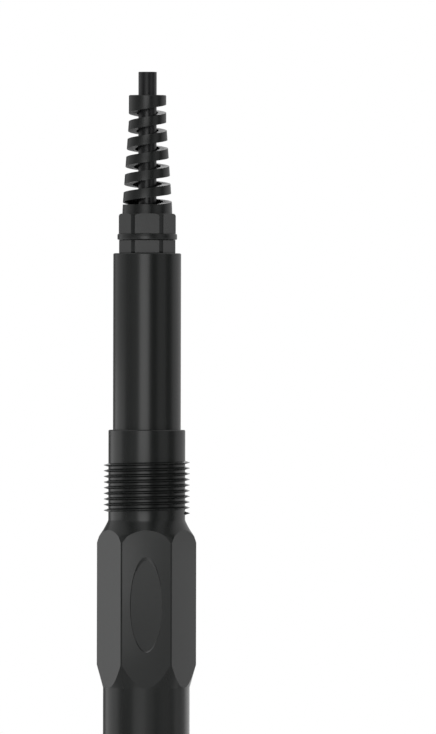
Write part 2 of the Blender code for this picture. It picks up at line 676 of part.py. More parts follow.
def chip(name, size, z, finish, pins_a_side=0, side=1):
    """A component on one face of the board, with pins down its long sides where it has them.

    A pin is a third as thick as the case and lies between the case's middle and the board.
    """
    width, depth = size[:2]
    y = side * (BOARD_FACE + depth / 2)
    piece = box(name, size, (0.0, y, z), PIECES, chamfer=min(size) * CASE_CHAMFER_SHARE)
    for i in range(pins_a_side):
        pin_z = z + (i - (pins_a_side - 1) / 2) * PIN_PITCH
        pin = box("%s_pins_%d" % (name, i + 1), (width + 2 * PIN_REACH, depth / 3, PIN_WIDTH),
                  (0.0, y - side * depth / 4, pin_z), GUIDES)
        join(piece, pin)
    give_material(piece, finish)


def make_electronics():
    """The board along the bore, its components, and the leads up from the electrodes."""
    board = box("circuit_board", (2 * BOARD_HALF_WIDTH, BOARD_THICKNESS, BOARD_TOP - BOARD_END),
                (0.0, 0.0, board_height(0.5)), PIECES)
    give_material(board, BOARD_RESIN)
    chip("cable_connector", CABLE_BLOCK_SIZE, BOARD_TOP - CABLE_BLOCK_SIZE[2] / 2, TERMINAL_BLOCK, side=-1)
    chip("electrode_connector", LEAD_BLOCK_SIZE, BOARD_END + LEAD_BLOCK_SIZE[2] / 2, HEADER_SHELL, side=-1)
    chip("power_module", POWER_MODULE_SIZE, board_height(POWER_MODULE_PLACE), DARK_CASE, side=-1)
    chip("microcontroller", MICROCONTROLLER_SIZE, board_height(MICROCONTROLLER_PLACE), DARK_CASE,
         pins_a_side=5)
    chip("transceiver_chip", TRANSCEIVER_SIZE, board_height(TRANSCEIVER_PLACE), DARK_CASE, pins_a_side=4)
    chip("amplifier_chip", AMPLIFIER_SIZE, board_height(AMPLIFIER_PLACE), DARK_CASE, pins_a_side=4)
    chip("crystal", CRYSTAL_SIZE, board_height(CRYSTAL_PLACE), METAL_CAN)

    radius = CAPACITOR_DIAMETER / 2
    half = CAPACITOR_LENGTH / 2
    outline = [(0.0, half), (radius - EDGE, half), (radius, half - EDGE), (radius, -half), (0.0, -half)]
    capacitor = turned("capacitor", outline, SMALL_STEPS, PIECES,
                       (0.0, -(BOARD_FACE + radius), board_height(CAPACITOR_PLACE)), ring=False)
    give_material(capacitor, CAPACITOR_SLEEVE)
    make_leads()


def make_leads():
    """Thin leads from the sockets up to the header under the board."""
    inlet_y = -(BOARD_FACE + LEAD_BLOCK_SIZE[1] / 2)
    starts = [("ammonium_lead", (-ELECTRODE_CIRCLE, 0.0), -1.5, WHITE_WIRE),
              ("temperature_lead_1", (-PROBE_LEAD_SPACING / 2, -PROBE_OFFSET), -0.5, RED_WIRE),
              ("temperature_lead_2", (PROBE_LEAD_SPACING / 2, -PROBE_OFFSET), 0.5, BLACK_WIRE),
              ("reference_lead", (ELECTRODE_CIRCLE, 0.0), 1.5, YELLOW_WIRE)]
    bottom = SOCKET_TOP + CONTACT_REACH + SEAT
    for name, (x, y), place_in_block, finish in starts:
        end_x = place_in_block * LEAD_BLOCK_PITCH
        bend = s_bend((x, y, HEAD_TOP), (end_x, inlet_y, BOARD_END - WIRE_TIP), WIRE_BEND_STEPS)
        points = [(x, y, bottom), *bend, (end_x, inlet_y, BOARD_END - SEAT)]
        wire(name, points, LEAD_DIAMETER, finish)


def make_head_body():
    """Plug with a sealed spigot, a flange, the guard's thread and a nose with three sockets."""
    spigot = HEAD_SPIGOT_RADIUS
    middle, floor = seal_seat(LOWER_TUBE_BORE, HEAD_SEAL_SECTION)
    flange = LOWER_TUBE_DIAMETER / 2
    thread = HEAD_THREAD_DIAMETER / 2
    nose = HEAD_NOSE_DIAMETER / 2
    seal_z = [HEAD_FLANGE_TOP + 2 * SEAL_SPACING, HEAD_FLANGE_TOP + SEAL_SPACING]
    outline = [(0.0, HEAD_TOP), (spigot - EDGE, HEAD_TOP), (spigot, HEAD_TOP - EDGE)]
    for z in seal_z:
        outline += groove(spigot, floor, z)
    outline += [(spigot, HEAD_FLANGE_TOP), (flange, HEAD_FLANGE_TOP), (flange, HEAD_FLANGE_END),
                (thread, HEAD_FLANGE_END), (thread, HEAD_THREAD_END), (nose, HEAD_THREAD_END),
                (nose, HEAD_NOSE_END + EDGE), (nose - EDGE, HEAD_NOSE_END), (0.0, HEAD_NOSE_END)]
    head = turned("head_body", outline, LARGE_STEPS, PIECES, ring=False)
    holes = [(name, (x, 0.0), SOCKET_RADIUS, LEAD_PASSAGE / 2) for name, x in ELECTRODE_PLACES.items()]
    holes.append(("temperature", (0.0, -PROBE_OFFSET), PROBE_DIAMETER / 2 + FIT, PROBE_LEAD_SPACING))
    for name, centre, socket, passage in holes:
        cut(head, cylinder_cutter(name + "_socket", socket, HEAD_NOSE_END - EDGE, SOCKET_TOP, centre))
        cut(head, cylinder_cutter(name + "_passage", passage, SOCKET_TOP - EDGE, HEAD_TOP + EDGE, centre,
                                  steps=PASSAGE_STEPS))
    give_material(head, PLASTIC)
    for number, z in enumerate(seal_z, start=1):
        seal_ring("head_o_ring_%d" % number, middle, HEAD_SEAL_SECTION, z)


def make_electrode(kind):
    """An electrode cartridge: a tube with a plugged top, a collar, a seal and a contact wire."""
    x = ELECTRODE_PLACES[kind]
    radius = ELECTRODE_DIAMETER / 2
    collar = radius + ELECTRODE_COLLAR_STEP
    bore = ELECTRODE_BORE / 2
    top = SOCKET_TOP - FIT
    cap = top - ELECTRODE_CAP
    collar_top = HEAD_NOSE_END - SEAT
    seal_z = HEAD_NOSE_END + ELECTRODE_SEAL_DEPTH
    middle = SOCKET_RADIUS * SMALL_FACET - SEAL_FIT - ELECTRODE_SEAL_SECTION / 2
    floor = (middle - ELECTRODE_SEAL_SECTION / 2) * SMALL_FACET - SEAL_FIT
    contact = CONTACT_DIAMETER / 2
    recess = TIP_RECESS_DIAMETER / 2
    outline = [(radius - EDGE, top), (radius, top - EDGE), *groove(radius, floor, seal_z),
               (radius, collar_top), (collar, collar_top), (collar, collar_top - ELECTRODE_COLLAR_LENGTH),
               (radius, collar_top - ELECTRODE_COLLAR_LENGTH), (radius, ELECTRODE_END + EDGE),
               (radius - EDGE, ELECTRODE_END), (recess, ELECTRODE_END),
               (recess, ELECTRODE_END + TIP_RECESS), (bore, ELECTRODE_END + TIP_RECESS), (bore, cap),
               (contact + FIT, cap), (contact + FIT, top)]
    body = turned(kind + "_electrode", outline, SMALL_STEPS, PIECES, (x, 0.0, 0.0))
    give_material(body, CARTRIDGE)
    seal_ring(kind + "_o_ring", middle, ELECTRODE_SEAL_SECTION, seal_z, (x, 0.0))

    wire_radius = INNER_WIRE_DIAMETER / 2
    wire_end = ELECTRODE_END + TIP_RECESS + INNER_WIRE_MARGIN
    outline = [(0.0, SOCKET_TOP + CONTACT_REACH), (contact, SOCKET_TOP + CONTACT_REACH), (contact, cap),
               (wire_radius, cap - EDGE), (wire_radius, wire_end), (0.0, wire_end)]
    inner = turned(kind + "_wire", outline, CONTACT_STEPS, PIECES, (x, 0.0, 0.0), ring=False)
    give_material(inner, SILVER_WIRE)


def make_electrode_tips():
    """The ammonium membrane in its recess, and the porous junction of the reference electrode."""
    disc = TIP_RECESS_DIAMETER / 2 * SMALL_FACET - SEAL_FIT
    top = ELECTRODE_END + TIP_RECESS - SEAL_FIT
    low = ELECTRODE_END + SEAL_FIT
    outline = [(0.0, top), (disc, top), (disc, low), (0.0, low)]
    membrane = turned("ammonium_membrane", outline, SMALL_STEPS, PIECES,
                      (ELECTRODE_PLACES["ammonium"], 0.0, 0.0), ring=False)
    give_material(membrane, MEMBRANE)
    plug = ELECTRODE_BORE / 2 * SMALL_FACET - SEAL_FIT
    outline = [(0.0, low + JUNCTION_LENGTH), (plug, low + JUNCTION_LENGTH), (plug, top), (disc, top),
               (disc, low), (0.0, low)]
    junction = turned("reference_junction", outline, SMALL_STEPS, PIECES,
                      (ELECTRODE_PLACES["reference"], 0.0, 0.0), ring=False)
    give_material(junction, POROUS_PLUG)


def make_temperature_probe():
    """A closed steel sheath with a round tip and a small collar at the nose."""
    radius = PROBE_DIAMETER / 2
    collar = radius + PROBE_COLLAR_STEP
    top = SOCKET_TOP - FIT
    collar_top = HEAD_NOSE_END - SEAT
    collar_end = collar_top - ELECTRODE_COLLAR_LENGTH
    tip_centre = HEAD_NOSE_END - PROBE_LENGTH + radius
    outline = [(0.0, top), (radius, top), (radius, collar_top), (collar, collar_top),
               (collar, collar_end), (radius, collar_end)]
    outline += [(radius * math.cos(a), tip_centre - radius * math.sin(a))
                for a in [math.radians(90 * i / 4) for i in range(4)]]
    outline.append((0.0, tip_centre - radius))
    probe = turned("temperature_probe", outline, SMALL_STEPS, PIECES, (0.0, -PROBE_OFFSET, 0.0),
                   ring=False)
    give_material(probe, SHEATH_STEEL)


def window_outline():
    """An upright slot with round ends, in the plane in which it is extruded."""
    half = GUARD_WINDOW_WIDTH / 2
    straight = GUARD_WINDOW_LENGTH / 2 - half
    turns = [math.pi * i / GUARD_WINDOW_STEPS for i in range(GUARD_WINDOW_STEPS + 1)]
    top = [(half * math.cos(a), straight + half * math.sin(a)) for a in turns]
    return top + [(-x, -y) for x, y in top]


def make_guard():
    """Screw-on tube with four windows, and the ring in its mouth."""
    outer = LOWER_TUBE_DIAMETER / 2
    mouth_floor = GUARD_TOP - GUARD_MOUTH_DEPTH
    outline = [(outer, GUARD_TOP), (outer, GUARD_END + GUARD_END_CHAMFER),
               (outer - GUARD_END_CHAMFER, GUARD_END), (GUARD_BORE, GUARD_END),
               (GUARD_BORE, mouth_floor), (GUARD_MOUTH, mouth_floor), (GUARD_MOUTH, GUARD_TOP)]
    guard = turned("guard", outline, LARGE_STEPS, PIECES)
    window_z = GUARD_END + GUARD_WINDOW_END_MARGIN + GUARD_WINDOW_LENGTH / 2
    for name, angle in [("front_back_windows", 0.0), ("side_windows", math.pi / 2)]:
        cutter = flat_outline(name, [window_outline()], LOWER_TUBE_DIAMETER + 2 * EDGE, GUIDES)
        cutter.rotation_euler = (math.pi / 2, 0.0, angle)
        cutter.location.z = window_z
        cut(guard, cutter)
    give_material(guard, PLASTIC)
    middle = GUARD_MOUTH * LARGE_FACET - SEAL_FIT - GUARD_SEAL_SECTION / 2
    seal_ring("guard_o_ring", middle, GUARD_SEAL_SECTION, mouth_floor + SEAL_FIT + GUARD_SEAL_SECTION / 2)


def main():
    make_cable()
    make_gland_nut()
    make_gland_inside()
    make_upper_tube()
    make_main_housing()
    make_electronics()
    make_head_body()
    for kind in ELECTRODE_PLACES:
        make_electrode(kind)
    make_electrode_tips()
    make_temperature_probe()
    make_guard()
    for piece in PIECES.objects:
        if piece.type == "MESH":
            settle(piece)


clear_scene()
PIECES = new_collection("ammonium_ion_sensor")
GUIDES = new_collection("cutters")
main()
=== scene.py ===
# %% [markdown]
# # Ammonium ion sensor
# A slim black probe with a cable gland on top, a pipe thread and a spanner hexagon in the middle,
# and three electrodes in a slotted guard at its lower end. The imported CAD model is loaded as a
# fixed frame. The pieces that the eye meets are made again here, finer, in the same places.

# %% Load the frame
import math

import bmesh
import bpy
from mathutils import Matrix, Vector


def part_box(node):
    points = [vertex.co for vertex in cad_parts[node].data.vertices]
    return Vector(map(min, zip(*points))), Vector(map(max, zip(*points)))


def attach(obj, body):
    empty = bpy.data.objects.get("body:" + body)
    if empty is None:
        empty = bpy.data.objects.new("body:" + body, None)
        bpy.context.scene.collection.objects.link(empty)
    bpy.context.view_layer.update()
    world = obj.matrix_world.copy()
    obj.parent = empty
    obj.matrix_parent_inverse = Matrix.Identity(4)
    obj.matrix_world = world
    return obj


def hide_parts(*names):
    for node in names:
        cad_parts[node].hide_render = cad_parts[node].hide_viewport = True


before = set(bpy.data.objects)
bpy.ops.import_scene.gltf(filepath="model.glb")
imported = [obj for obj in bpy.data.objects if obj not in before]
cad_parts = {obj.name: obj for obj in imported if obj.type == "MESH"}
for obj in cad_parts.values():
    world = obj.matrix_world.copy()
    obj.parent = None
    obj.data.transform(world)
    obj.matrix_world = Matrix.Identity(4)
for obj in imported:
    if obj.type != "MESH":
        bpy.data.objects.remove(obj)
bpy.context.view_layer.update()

# %% [markdown]
# ## Sizes
# The sizes are in millimetres, as on a workshop drawing, and each is multiplied by MM where a mesh
# or a node takes it. Heights are counted from the plane where the thread's neck meets the spanner
# hexagon. The CAD nodes' own heights are printed beside them, as a check.

# %% Sizes that several pieces share
MM = 0.001
FINE = 96
CABLE_TOP, SPIRAL_TOP, SPIRAL_FOOT = 134.5, 127.5, 94.65
NUT_TOP, NUT_FLANGE_TOP, NUT_FOOT = 91.9, 85.9, 84.04
GLAND_TOP, TUBE_TOP, COLLAR_TOP = 84.0, 80.0, 27.0
HEX_FOOT, HOUSING_FOOT = -50.5, -87.0
FLANGE_TOP, FLANGE_FOOT = -87.04, -90.2
GUARD_TOP, GUARD_FOOT = -90.24, -162.0
NOSE_FOOT, ELECTRODE_FOOT = -114.2, -140.2
GRIP_RADIUS, GRIP_EDGE, CABLE_HOLE = 13.03, 12.83, 3.2
ELECTRODE_PLACE, THERMOMETER_PLACE = 5.3, -6.5


def height_of(node, end):
    """Height in mm of a CAD node's lower (0) or upper (1) end."""
    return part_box(node)[end].z / MM


for node, end, height in [("cable_jacket", 1, CABLE_TOP), ("gland_nut", 1, SPIRAL_TOP),
                          ("gland_nut", 0, NUT_FOOT), ("main_housing", 0, HOUSING_FOOT),
                          ("guard", 0, GUARD_FOOT), ("guard", 1, GUARD_TOP)]:
    print("%-14s %8.2f mm, drawn at %8.2f" % (node, height_of(node, end), height))

# %% [markdown]
# ## Tools for turned pieces
# Nearly every piece of the probe is round, so it starts as on a lathe: an outline of radius and
# height is spun once about the probe's axis. A screw modifier would do the same, but the bmesh
# spin leaves a mesh that the next tools can cut and bevel at once.

# %% Spin an outline
MERGE_DISTANCE = 0.0000004


def tidy(shape):
    """Merge doubled points and turn every face outwards."""
    bmesh.ops.remove_doubles(shape, verts=shape.verts[:], dist=MERGE_DISTANCE)
    bmesh.ops.recalc_face_normals(shape, faces=shape.faces[:])


def turned(outline, steps=FINE, ring=True, centre=(0.0, 0.0)):
    """Spin an outline of (radius, height). A ring's is closed, a solid's ends on the axis."""
    shape = bmesh.new()
    corners = [shape.verts.new((r * MM, 0.0, z * MM)) for r, z in outline]
    edges = [shape.edges.new(pair) for pair in zip(corners, corners[1:])]
    if ring:
        edges.append(shape.edges.new((corners[-1], corners[0])))
    bmesh.ops.spin(shape, geom=corners + edges, cent=(0, 0, 0), axis=(0, 0, 1), angle=2 * math.pi,
                   steps=steps, use_merge=True, use_duplicate=False)
    tidy(shape)
    bmesh.ops.translate(shape, verts=shape.verts[:], vec=(centre[0] * MM, centre[1] * MM, 0.0))
    return shape


# %% Round the edges


def soften(shape, width=0.12, above=35.0):
    """Bevel the edges that are sharper than an angle."""
    chosen = [edge for edge in shape.edges
              if edge.is_manifold and edge.calc_face_angle(0.0) > math.radians(above)]
    bmesh.ops.bevel(shape, geom=chosen, offset=width * MM, offset_type="OFFSET", affect="EDGES",
                    segments=2, profile=0.5, material=-1, clamp_overlap=True)


# %% [markdown]
# ## Tools for cut pieces
# A spanner hexagon is milled from the round: six planes take a flat away each, and a narrow strip of
# the round is left at every corner, so that the corners are not sharp. Slots, pockets and holes are
# cut with a second shape, and a Boolean is the plain way to do that.

# %% Mill a hexagon
CUT_TOLERANCE = 0.0000001


def mill(shape, distance, angle, low, high):
    """Take away what lies beyond an upright plane, between two heights, and close the cut."""
    faces = [f for f in shape.faces if all(low * MM <= v.co.z <= high * MM for v in f.verts)]
    edges = list({e for f in faces for e in f.edges})
    corners = list({v for f in faces for v in f.verts})
    normal = Vector((math.cos(math.radians(angle)), math.sin(math.radians(angle)), 0.0))
    bmesh.ops.bisect_plane(shape, geom=faces + edges + corners, dist=CUT_TOLERANCE,
                           plane_co=normal * distance * MM, plane_no=normal, clear_outer=True)
    open_edges = [e for e in shape.edges if e.is_boundary]
    bmesh.ops.holes_fill(shape, edges=open_edges, sides=0)


def mill_hexagon(shape, flats, low, high):
    """Six flats, one facing the front. What is left of the round blank rounds the corners."""
    for side in range(6):
        mill(shape, flats / 2, 60 * side + 30, low, high)
    tidy(shape)


# %% Combine two shapes


def combine(shape, tool, operation="DIFFERENCE"):
    """Cut one closed shape with another, or join them, and return the new shape."""
    pair = []
    for part in (shape, tool):
        mesh = bpy.data.meshes.new("blank")
        part.to_mesh(mesh)
        part.free()
        pair.append(bpy.data.objects.new("blank", mesh))
        bpy.context.scene.collection.objects.link(pair[-1])
    step = pair[0].modifiers.new("combine", "BOOLEAN")
    step.operation, step.solver, step.object = operation, "EXACT", pair[1]
    graph = bpy.context.evaluated_depsgraph_get()
    mesh = bpy.data.meshes.new_from_object(pair[0].evaluated_get(graph), depsgraph=graph)
    result = bmesh.new()
    result.from_mesh(mesh)
    for part in pair:
        bpy.data.meshes.remove(part.data)
    bpy.data.meshes.remove(mesh)
    bmesh.ops.remove_doubles(result, verts=result.verts[:], dist=MERGE_DISTANCE)
    return result


# %% [markdown]
# ## Tool for threads
# A thread's ridge and the strain relief's slot are one section carried up a helix. The bmesh spin
# does that too, when every step also lifts the section by its share of the pitch.

# %% Sweep a helix


def helix(section, pitch, first_height, first_angle, turns):
    """Sweep a closed (radius, height) section up a right-hand helix, from an angle in degrees."""
    shape = bmesh.new()
    start = Matrix.Rotation(math.radians(first_angle), 4, "Z")
    corners = [shape.verts.new(start @ Vector((r * MM, 0.0, (first_height + z) * MM)))
               for r, z in section]
    face = shape.faces.new(corners)
    steps = round(turns * FINE)
    bmesh.ops.spin(shape, geom=[face, *face.edges, *corners], cent=(0, 0, 0), axis=(0, 0, 1),
                   dvec=(0.0, 0.0, pitch * MM / FINE), steps=steps,
                   angle=2 * math.pi * steps / FINE, use_merge=False, use_duplicate=False)
    bmesh.ops.recalc_face_normals(shape, faces=shape.faces[:])
    return shape


# %% [markdown]
# ## Finished pieces
# A piece is shaded smooth, with a crisp line wherever two faces meet at more than 32 degrees and
# round every large flat face. It rides on a body of the model and stands for the CAD nodes named.

# %% Turn a shape into a finished piece
BIG_FACE_CORNERS, CRISP_ANGLE = 8, 32


def finished(name, shape, material, body, slot, *nodes):
    """Make the object: smooth faces, crisp edges, its body and the nodes it stands for. slot is not
    used.
    """
    for face in shape.faces:
        face.smooth = True
    for edge in shape.edges:
        flat_side = any(len(face.verts) > BIG_FACE_CORNERS for face in edge.link_faces)
        edge.smooth = not (flat_side or edge.calc_face_angle(0.0) > math.radians(CRISP_ANGLE))
    mesh = bpy.data.meshes.new(name)
    shape.to_mesh(mesh)
    closed = all(edge.is_manifold for edge in shape.edges)
    shape.free()
    piece = bpy.data.objects.new(name, mesh)
    bpy.context.scene.collection.objects.link(piece)
    mesh.materials.append(material)
    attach(piece, body)
    if nodes:
        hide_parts(*nodes)
    print("%-22s %6d faces, closed: %s" % (name, len(mesh.polygons), closed))


# %% [markdown]
# ## Finishes
# A finish is a small graph of nodes. One helper turns a hex colour to the linear values that a
# shader takes, and one adds a node with its settings and its links.

# %% Colour and node helpers


def linear(hex_colour):
    """The linear values of an sRGB hex colour."""
    channels = [int(hex_colour[i:i + 2], 16) / 255 for i in (1, 3, 5)]
    return [c / 12.92 if c <= 0.04045 else ((c + 0.055) / 1.055) ** 2.4 for c in channels] + [1.0]


def add_node(tree, kind, settings=None, links=None):
    """Add a node, set its inputs or properties by name, and link its inputs to outputs."""
    node = tree.nodes.new(kind)
    for key, value in (settings or {}).items():
        if isinstance(key, int) or key in node.inputs:
            node.inputs[key].default_value = value
        else:
            setattr(node, key, value)
    for key, output in (links or {}).items():
        tree.links.new(output, node.inputs[key])
    return node


def new_material(name):
    """An empty material and its node tree."""
    material = bpy.data.materials.new(name)
    material.use_nodes = True
    material.node_tree.nodes.clear()
    return material, material.node_tree


# %% [markdown]
# ### Moulded plastics
# The probe's body is a black engineering plastic with a fine satin surface. Real mouldings are
# never one colour: the black drifts a little over a centimetre, the gloss changes in patches, and
# a fine grain breaks up the highlights. Two noises do this, one for the patches and one for the
# grain, so that one function serves every moulded piece. The grain is 0.08 to 0.2 mm wide.

# %% Moulded plastic


def moulded(name, dark, light, roughness, grain=0.12, depth=0.0006, patch=9.0, gloss_drift=0.05):
    """Colour and gloss drift in patches, and a fine grain stands up as bump. Sizes in mm."""
    material, tree = new_material(name)
    place = add_node(tree, "ShaderNodeTexCoord").outputs["Object"]
    patches = add_node(tree, "ShaderNodeTexNoise", {"Scale": 1 / (patch * MM), "Detail": 3.0},
                       {"Vector": place})
    colour = add_node(tree, "ShaderNodeMix", {"data_type": "RGBA", 6: linear(dark), 7: linear(light)},
                      {"Factor": patches.outputs["Fac"]})
    fine = add_node(tree, "ShaderNodeTexNoise", {"Scale": 1 / (grain * MM), "Detail": 2.0},
                    {"Vector": place})
    gloss = add_node(tree, "ShaderNodeMapRange", {"To Min": roughness - gloss_drift,
                                                  "To Max": roughness + gloss_drift},
                     {"Value": patches.outputs["Fac"]})
    bump = add_node(tree, "ShaderNodeBump", {"Strength": 1.0, "Distance": depth * MM},
                    {"Height": fine.outputs["Fac"]})
    shader = add_node(tree, "ShaderNodeBsdfPrincipled", {"IOR": 1.5},
                      {"Base Color": colour.outputs[2], "Roughness": gloss.outputs["Result"],
                       "Normal": bump.outputs["Normal"]})
    add_node(tree, "ShaderNodeOutputMaterial", None, {"Surface": shader.outputs["BSDF"]})
    return material


# Acetal, moulded in a polished tool: a deep black with soft, even bands of light.
black_acetal = moulded("moulded_black_acetal", "#1e201f", "#212322", 0.25, gloss_drift=0.02)
# Nylon, moulded in a spark-finished tool: a shade lighter and less glossy.
gland_nylon = moulded("moulded_black_nylon", "#202121", "#242625", 0.28, 0.16, 0.001,
                      gloss_drift=0.02)
# Nitrile rubber: nearly matt, with a dusty bloom in patches.
seal_rubber = moulded("moulded_nitrile_rubber", "#141515", "#1f2020", 0.62, 0.1, 0.002, 2.0, 0.1)
# Natural nylon with grey pigment, for the ring that nobody sees: even and waxy.
clamp_nylon = moulded("moulded_grey_nylon", "#2e2f31", "#393a3c", 0.42, 0.2, 0.002, 4.0)
# Glass-filled polyamide: the terminal block's green, rough with short fibres.
terminal_green = moulded("filled_polyamide_green", "#26633b", "#337549", 0.5, 0.08, 0.003, 1.5)
# Header nylon: a cream colour that shows the flow of the melt.
header_cream = moulded("moulded_cream_nylon", "#cbc8b9", "#dbd8cc", 0.45, 0.15, 0.001, 3.0)
print("moulded plastics made")

# %% [markdown]
# ### Drawn, extruded and turned surfaces
# A cable sheath, a wire and a drawn metal can carry long lines in the direction in which they were
# pulled, and a turned or ground piece carries rings. Both are one noise on coordinates that are
# squeezed along the lines: it then changes fast across them and slowly along them.

# %% Lined surface


def lined(name, dark, light, roughness, line, stretch=(1.0, 1.0, 0.04), depth=0.001, metallic=0.0,
          drift=0.06):
    """Lines of a width in mm. stretch squeezes the noise: upright lines by default, or RINGS."""
    material, tree = new_material(name)
    place = add_node(tree, "ShaderNodeTexCoord").outputs["Object"]
    pulled = add_node(tree, "ShaderNodeMapping", {"Scale": stretch}, {"Vector": place})
    lines = add_node(tree, "ShaderNodeTexNoise", {"Scale": 1 / (line * MM), "Detail": 4.0},
                     {"Vector": pulled.outputs["Vector"]})
    colour = add_node(tree, "ShaderNodeMix", {"data_type": "RGBA", 6: linear(dark), 7: linear(light)},
                      {"Factor": lines.outputs["Fac"]})
    gloss = add_node(tree, "ShaderNodeMapRange", {"To Min": roughness - drift,
                                                  "To Max": roughness + drift},
                     {"Value": lines.outputs["Fac"]})
    bump = add_node(tree, "ShaderNodeBump", {"Strength": 1.0, "Distance": depth * MM},
                    {"Height": lines.outputs["Fac"]})
    shader = add_node(tree, "ShaderNodeBsdfPrincipled", {"Metallic": metallic},
                      {"Base Color": colour.outputs[2], "Roughness": gloss.outputs["Result"],
                       "Normal": bump.outputs["Normal"]})
    add_node(tree, "ShaderNodeOutputMaterial", None, {"Surface": shader.outputs["BSDF"]})
    return material


RINGS = (0.04, 0.04, 1.0)
# Soft PVC, extruded: black, with a low sheen and faint lines along the cable.
sheath_pvc = lined("extruded_black_pvc", "#1f2021", "#262728", 0.3, 0.3, depth=0.002)
# Grey PVC, turned from the bar: fine rings from the lathe's feed of 0.15 mm.
cartridge_pvc = lined("turned_grey_pvc", "#34373b", "#42464a", 0.36, 0.15, RINGS, 0.003)
# Shrink sleeve: thin film pulled tight, glossy, with lines round the can.
capacitor_blue = lined("shrunk_blue_sleeve", "#1f2a3a", "#2b384a", 0.3, 0.4, RINGS, 0.002)
# Wire insulation: extruded PVC in the colours of the cores.
wire_black = lined("extruded_black_wire", "#161617", "#202022", 0.42, 0.12)
wire_red = lined("extruded_red_wire", "#93201b", "#ac2b25", 0.42, 0.12)
wire_green = lined("extruded_green_wire", "#256b36", "#308044", 0.42, 0.12)
wire_white = lined("extruded_white_wire", "#cbcac3", "#dfded8", 0.42, 0.12)
wire_yellow = lined("extruded_yellow_wire", "#b89527", "#cfac3c", 0.42, 0.12)
# Metals: drawn lines on can and wire, ground and polished rings on the sheath.
can_steel = lined("drawn_steel_can", "#a5a7a9", "#c3c5c7", 0.3, 0.15, depth=0.001, metallic=1.0)
silver = lined("drawn_silver_wire", "#b9b8b4", "#d6d5d1", 0.26, 0.05, depth=0.001, metallic=1.0)
tinned_copper = lined("drawn_tinned_copper", "#a9a8a2", "#c9c7c0", 0.34, 0.05, depth=0.001,
                      metallic=1.0)
sheath_steel = lined("polished_stainless_steel", "#a4a7aa", "#bfc2c5", 0.2, 0.1, RINGS, 0.0006,
                     1.0, 0.05)
print("lined surfaces made")

# %% [markdown]
# ### Circuit board
# A board is glass cloth in resin under a green varnish. The cloth's weave of 0.5 mm shows through
# as a faint grid, and the copper tracks under the varnish show as lighter, slightly raised areas
# with square corners. Two wave textures make the weave, and Voronoi cells with a city-block
# distance make the tracks' edges. A wave texture of scale 1 repeats every 0.314 m.

# %% Circuit board
WEAVE, TRACK, WAVE_REPEAT = 0.5, 2.4, 0.314
board_green, tree = new_material("varnished_circuit_board")
place = add_node(tree, "ShaderNodeTexCoord").outputs["Object"]
threads = [add_node(tree, "ShaderNodeTexWave", {"wave_type": "BANDS", "bands_direction": axis,
                                                "Scale": WAVE_REPEAT / (WEAVE * MM),
                                                "Distortion": 0.4},
                    {"Vector": place}) for axis in ("X", "Z")]
weave = add_node(tree, "ShaderNodeMath", {"operation": "MULTIPLY"},
                 {0: threads[0].outputs["Fac"], 1: threads[1].outputs["Fac"]})
cells = add_node(tree, "ShaderNodeTexVoronoi", {"distance": "MANHATTAN", "feature": "F1",
                                                "Scale": 1 / (TRACK * MM), "Randomness": 0.7},
                 {"Vector": place})
tracks = add_node(tree, "ShaderNodeMapRange", {"From Min": 0.42, "From Max": 0.46},
                  {"Value": cells.outputs["Distance"]})
varnish = add_node(tree, "ShaderNodeMix", {"data_type": "RGBA", 6: linear("#123f27"),
                                           7: linear("#1b5234")}, {"Factor": weave.outputs[0]})
over_copper = add_node(tree, "ShaderNodeMix", {"data_type": "RGBA", 7: linear("#2c6f45")},
                       {"Factor": tracks.outputs["Result"], 6: varnish.outputs[2]})
raised = add_node(tree, "ShaderNodeBump", {"Strength": 1.0, "Distance": 0.03 * MM},
                  {"Height": tracks.outputs["Result"]})
shader = add_node(tree, "ShaderNodeBsdfPrincipled", {"Roughness": 0.32},
                  {"Base Color": over_copper.outputs[2], "Normal": raised.outputs["Normal"]})
add_node(tree, "ShaderNodeOutputMaterial", None, {"Surface": shader.outputs["BSDF"]})
print("board made, weave", WEAVE, "mm")

# %% [markdown]
# ### Chip packages
# A chip's case is epoxy with a filler of glass beads. It is a dull charcoal, and the beads show as
# pale specks of about 0.06 mm, which a Voronoi texture places.

# %% Chip epoxy
SPECK = 0.06
chip_epoxy, tree = new_material("filled_black_epoxy")
place = add_node(tree, "ShaderNodeTexCoord").outputs["Object"]
beads = add_node(tree, "ShaderNodeTexVoronoi", {"Scale": 1 / (3 * SPECK * MM)}, {"Vector": place})
specks = add_node(tree, "ShaderNodeMapRange", {"From Min": 0.22, "From Max": 0.1},
                  {"Value": beads.outputs["Distance"]})
dust = add_node(tree, "ShaderNodeTexNoise", {"Scale": 1 / (1.2 * MM), "Detail": 5.0},
                {"Vector": place})
resin = add_node(tree, "ShaderNodeMix", {"data_type": "RGBA", 6: linear("#151617"),
                                         7: linear("#202122")}, {"Factor": dust.outputs["Fac"]})
speckled = add_node(tree, "ShaderNodeMix", {"data_type": "RGBA", 7: linear("#3c3d3e")},
                    {"Factor": specks.outputs["Result"], 6: resin.outputs[2]})
rough = add_node(tree, "ShaderNodeBump", {"Strength": 1.0, "Distance": 0.004 * MM},
                 {"Height": specks.outputs["Result"]})
shader = add_node(tree, "ShaderNodeBsdfPrincipled", {"Roughness": 0.58},
                  {"Base Color": speckled.outputs[2], "Normal": rough.outputs["Normal"]})
add_node(tree, "ShaderNodeOutputMaterial", None, {"Surface": shader.outputs["BSDF"]})
print("chip epoxy made, specks", SPECK, "mm")
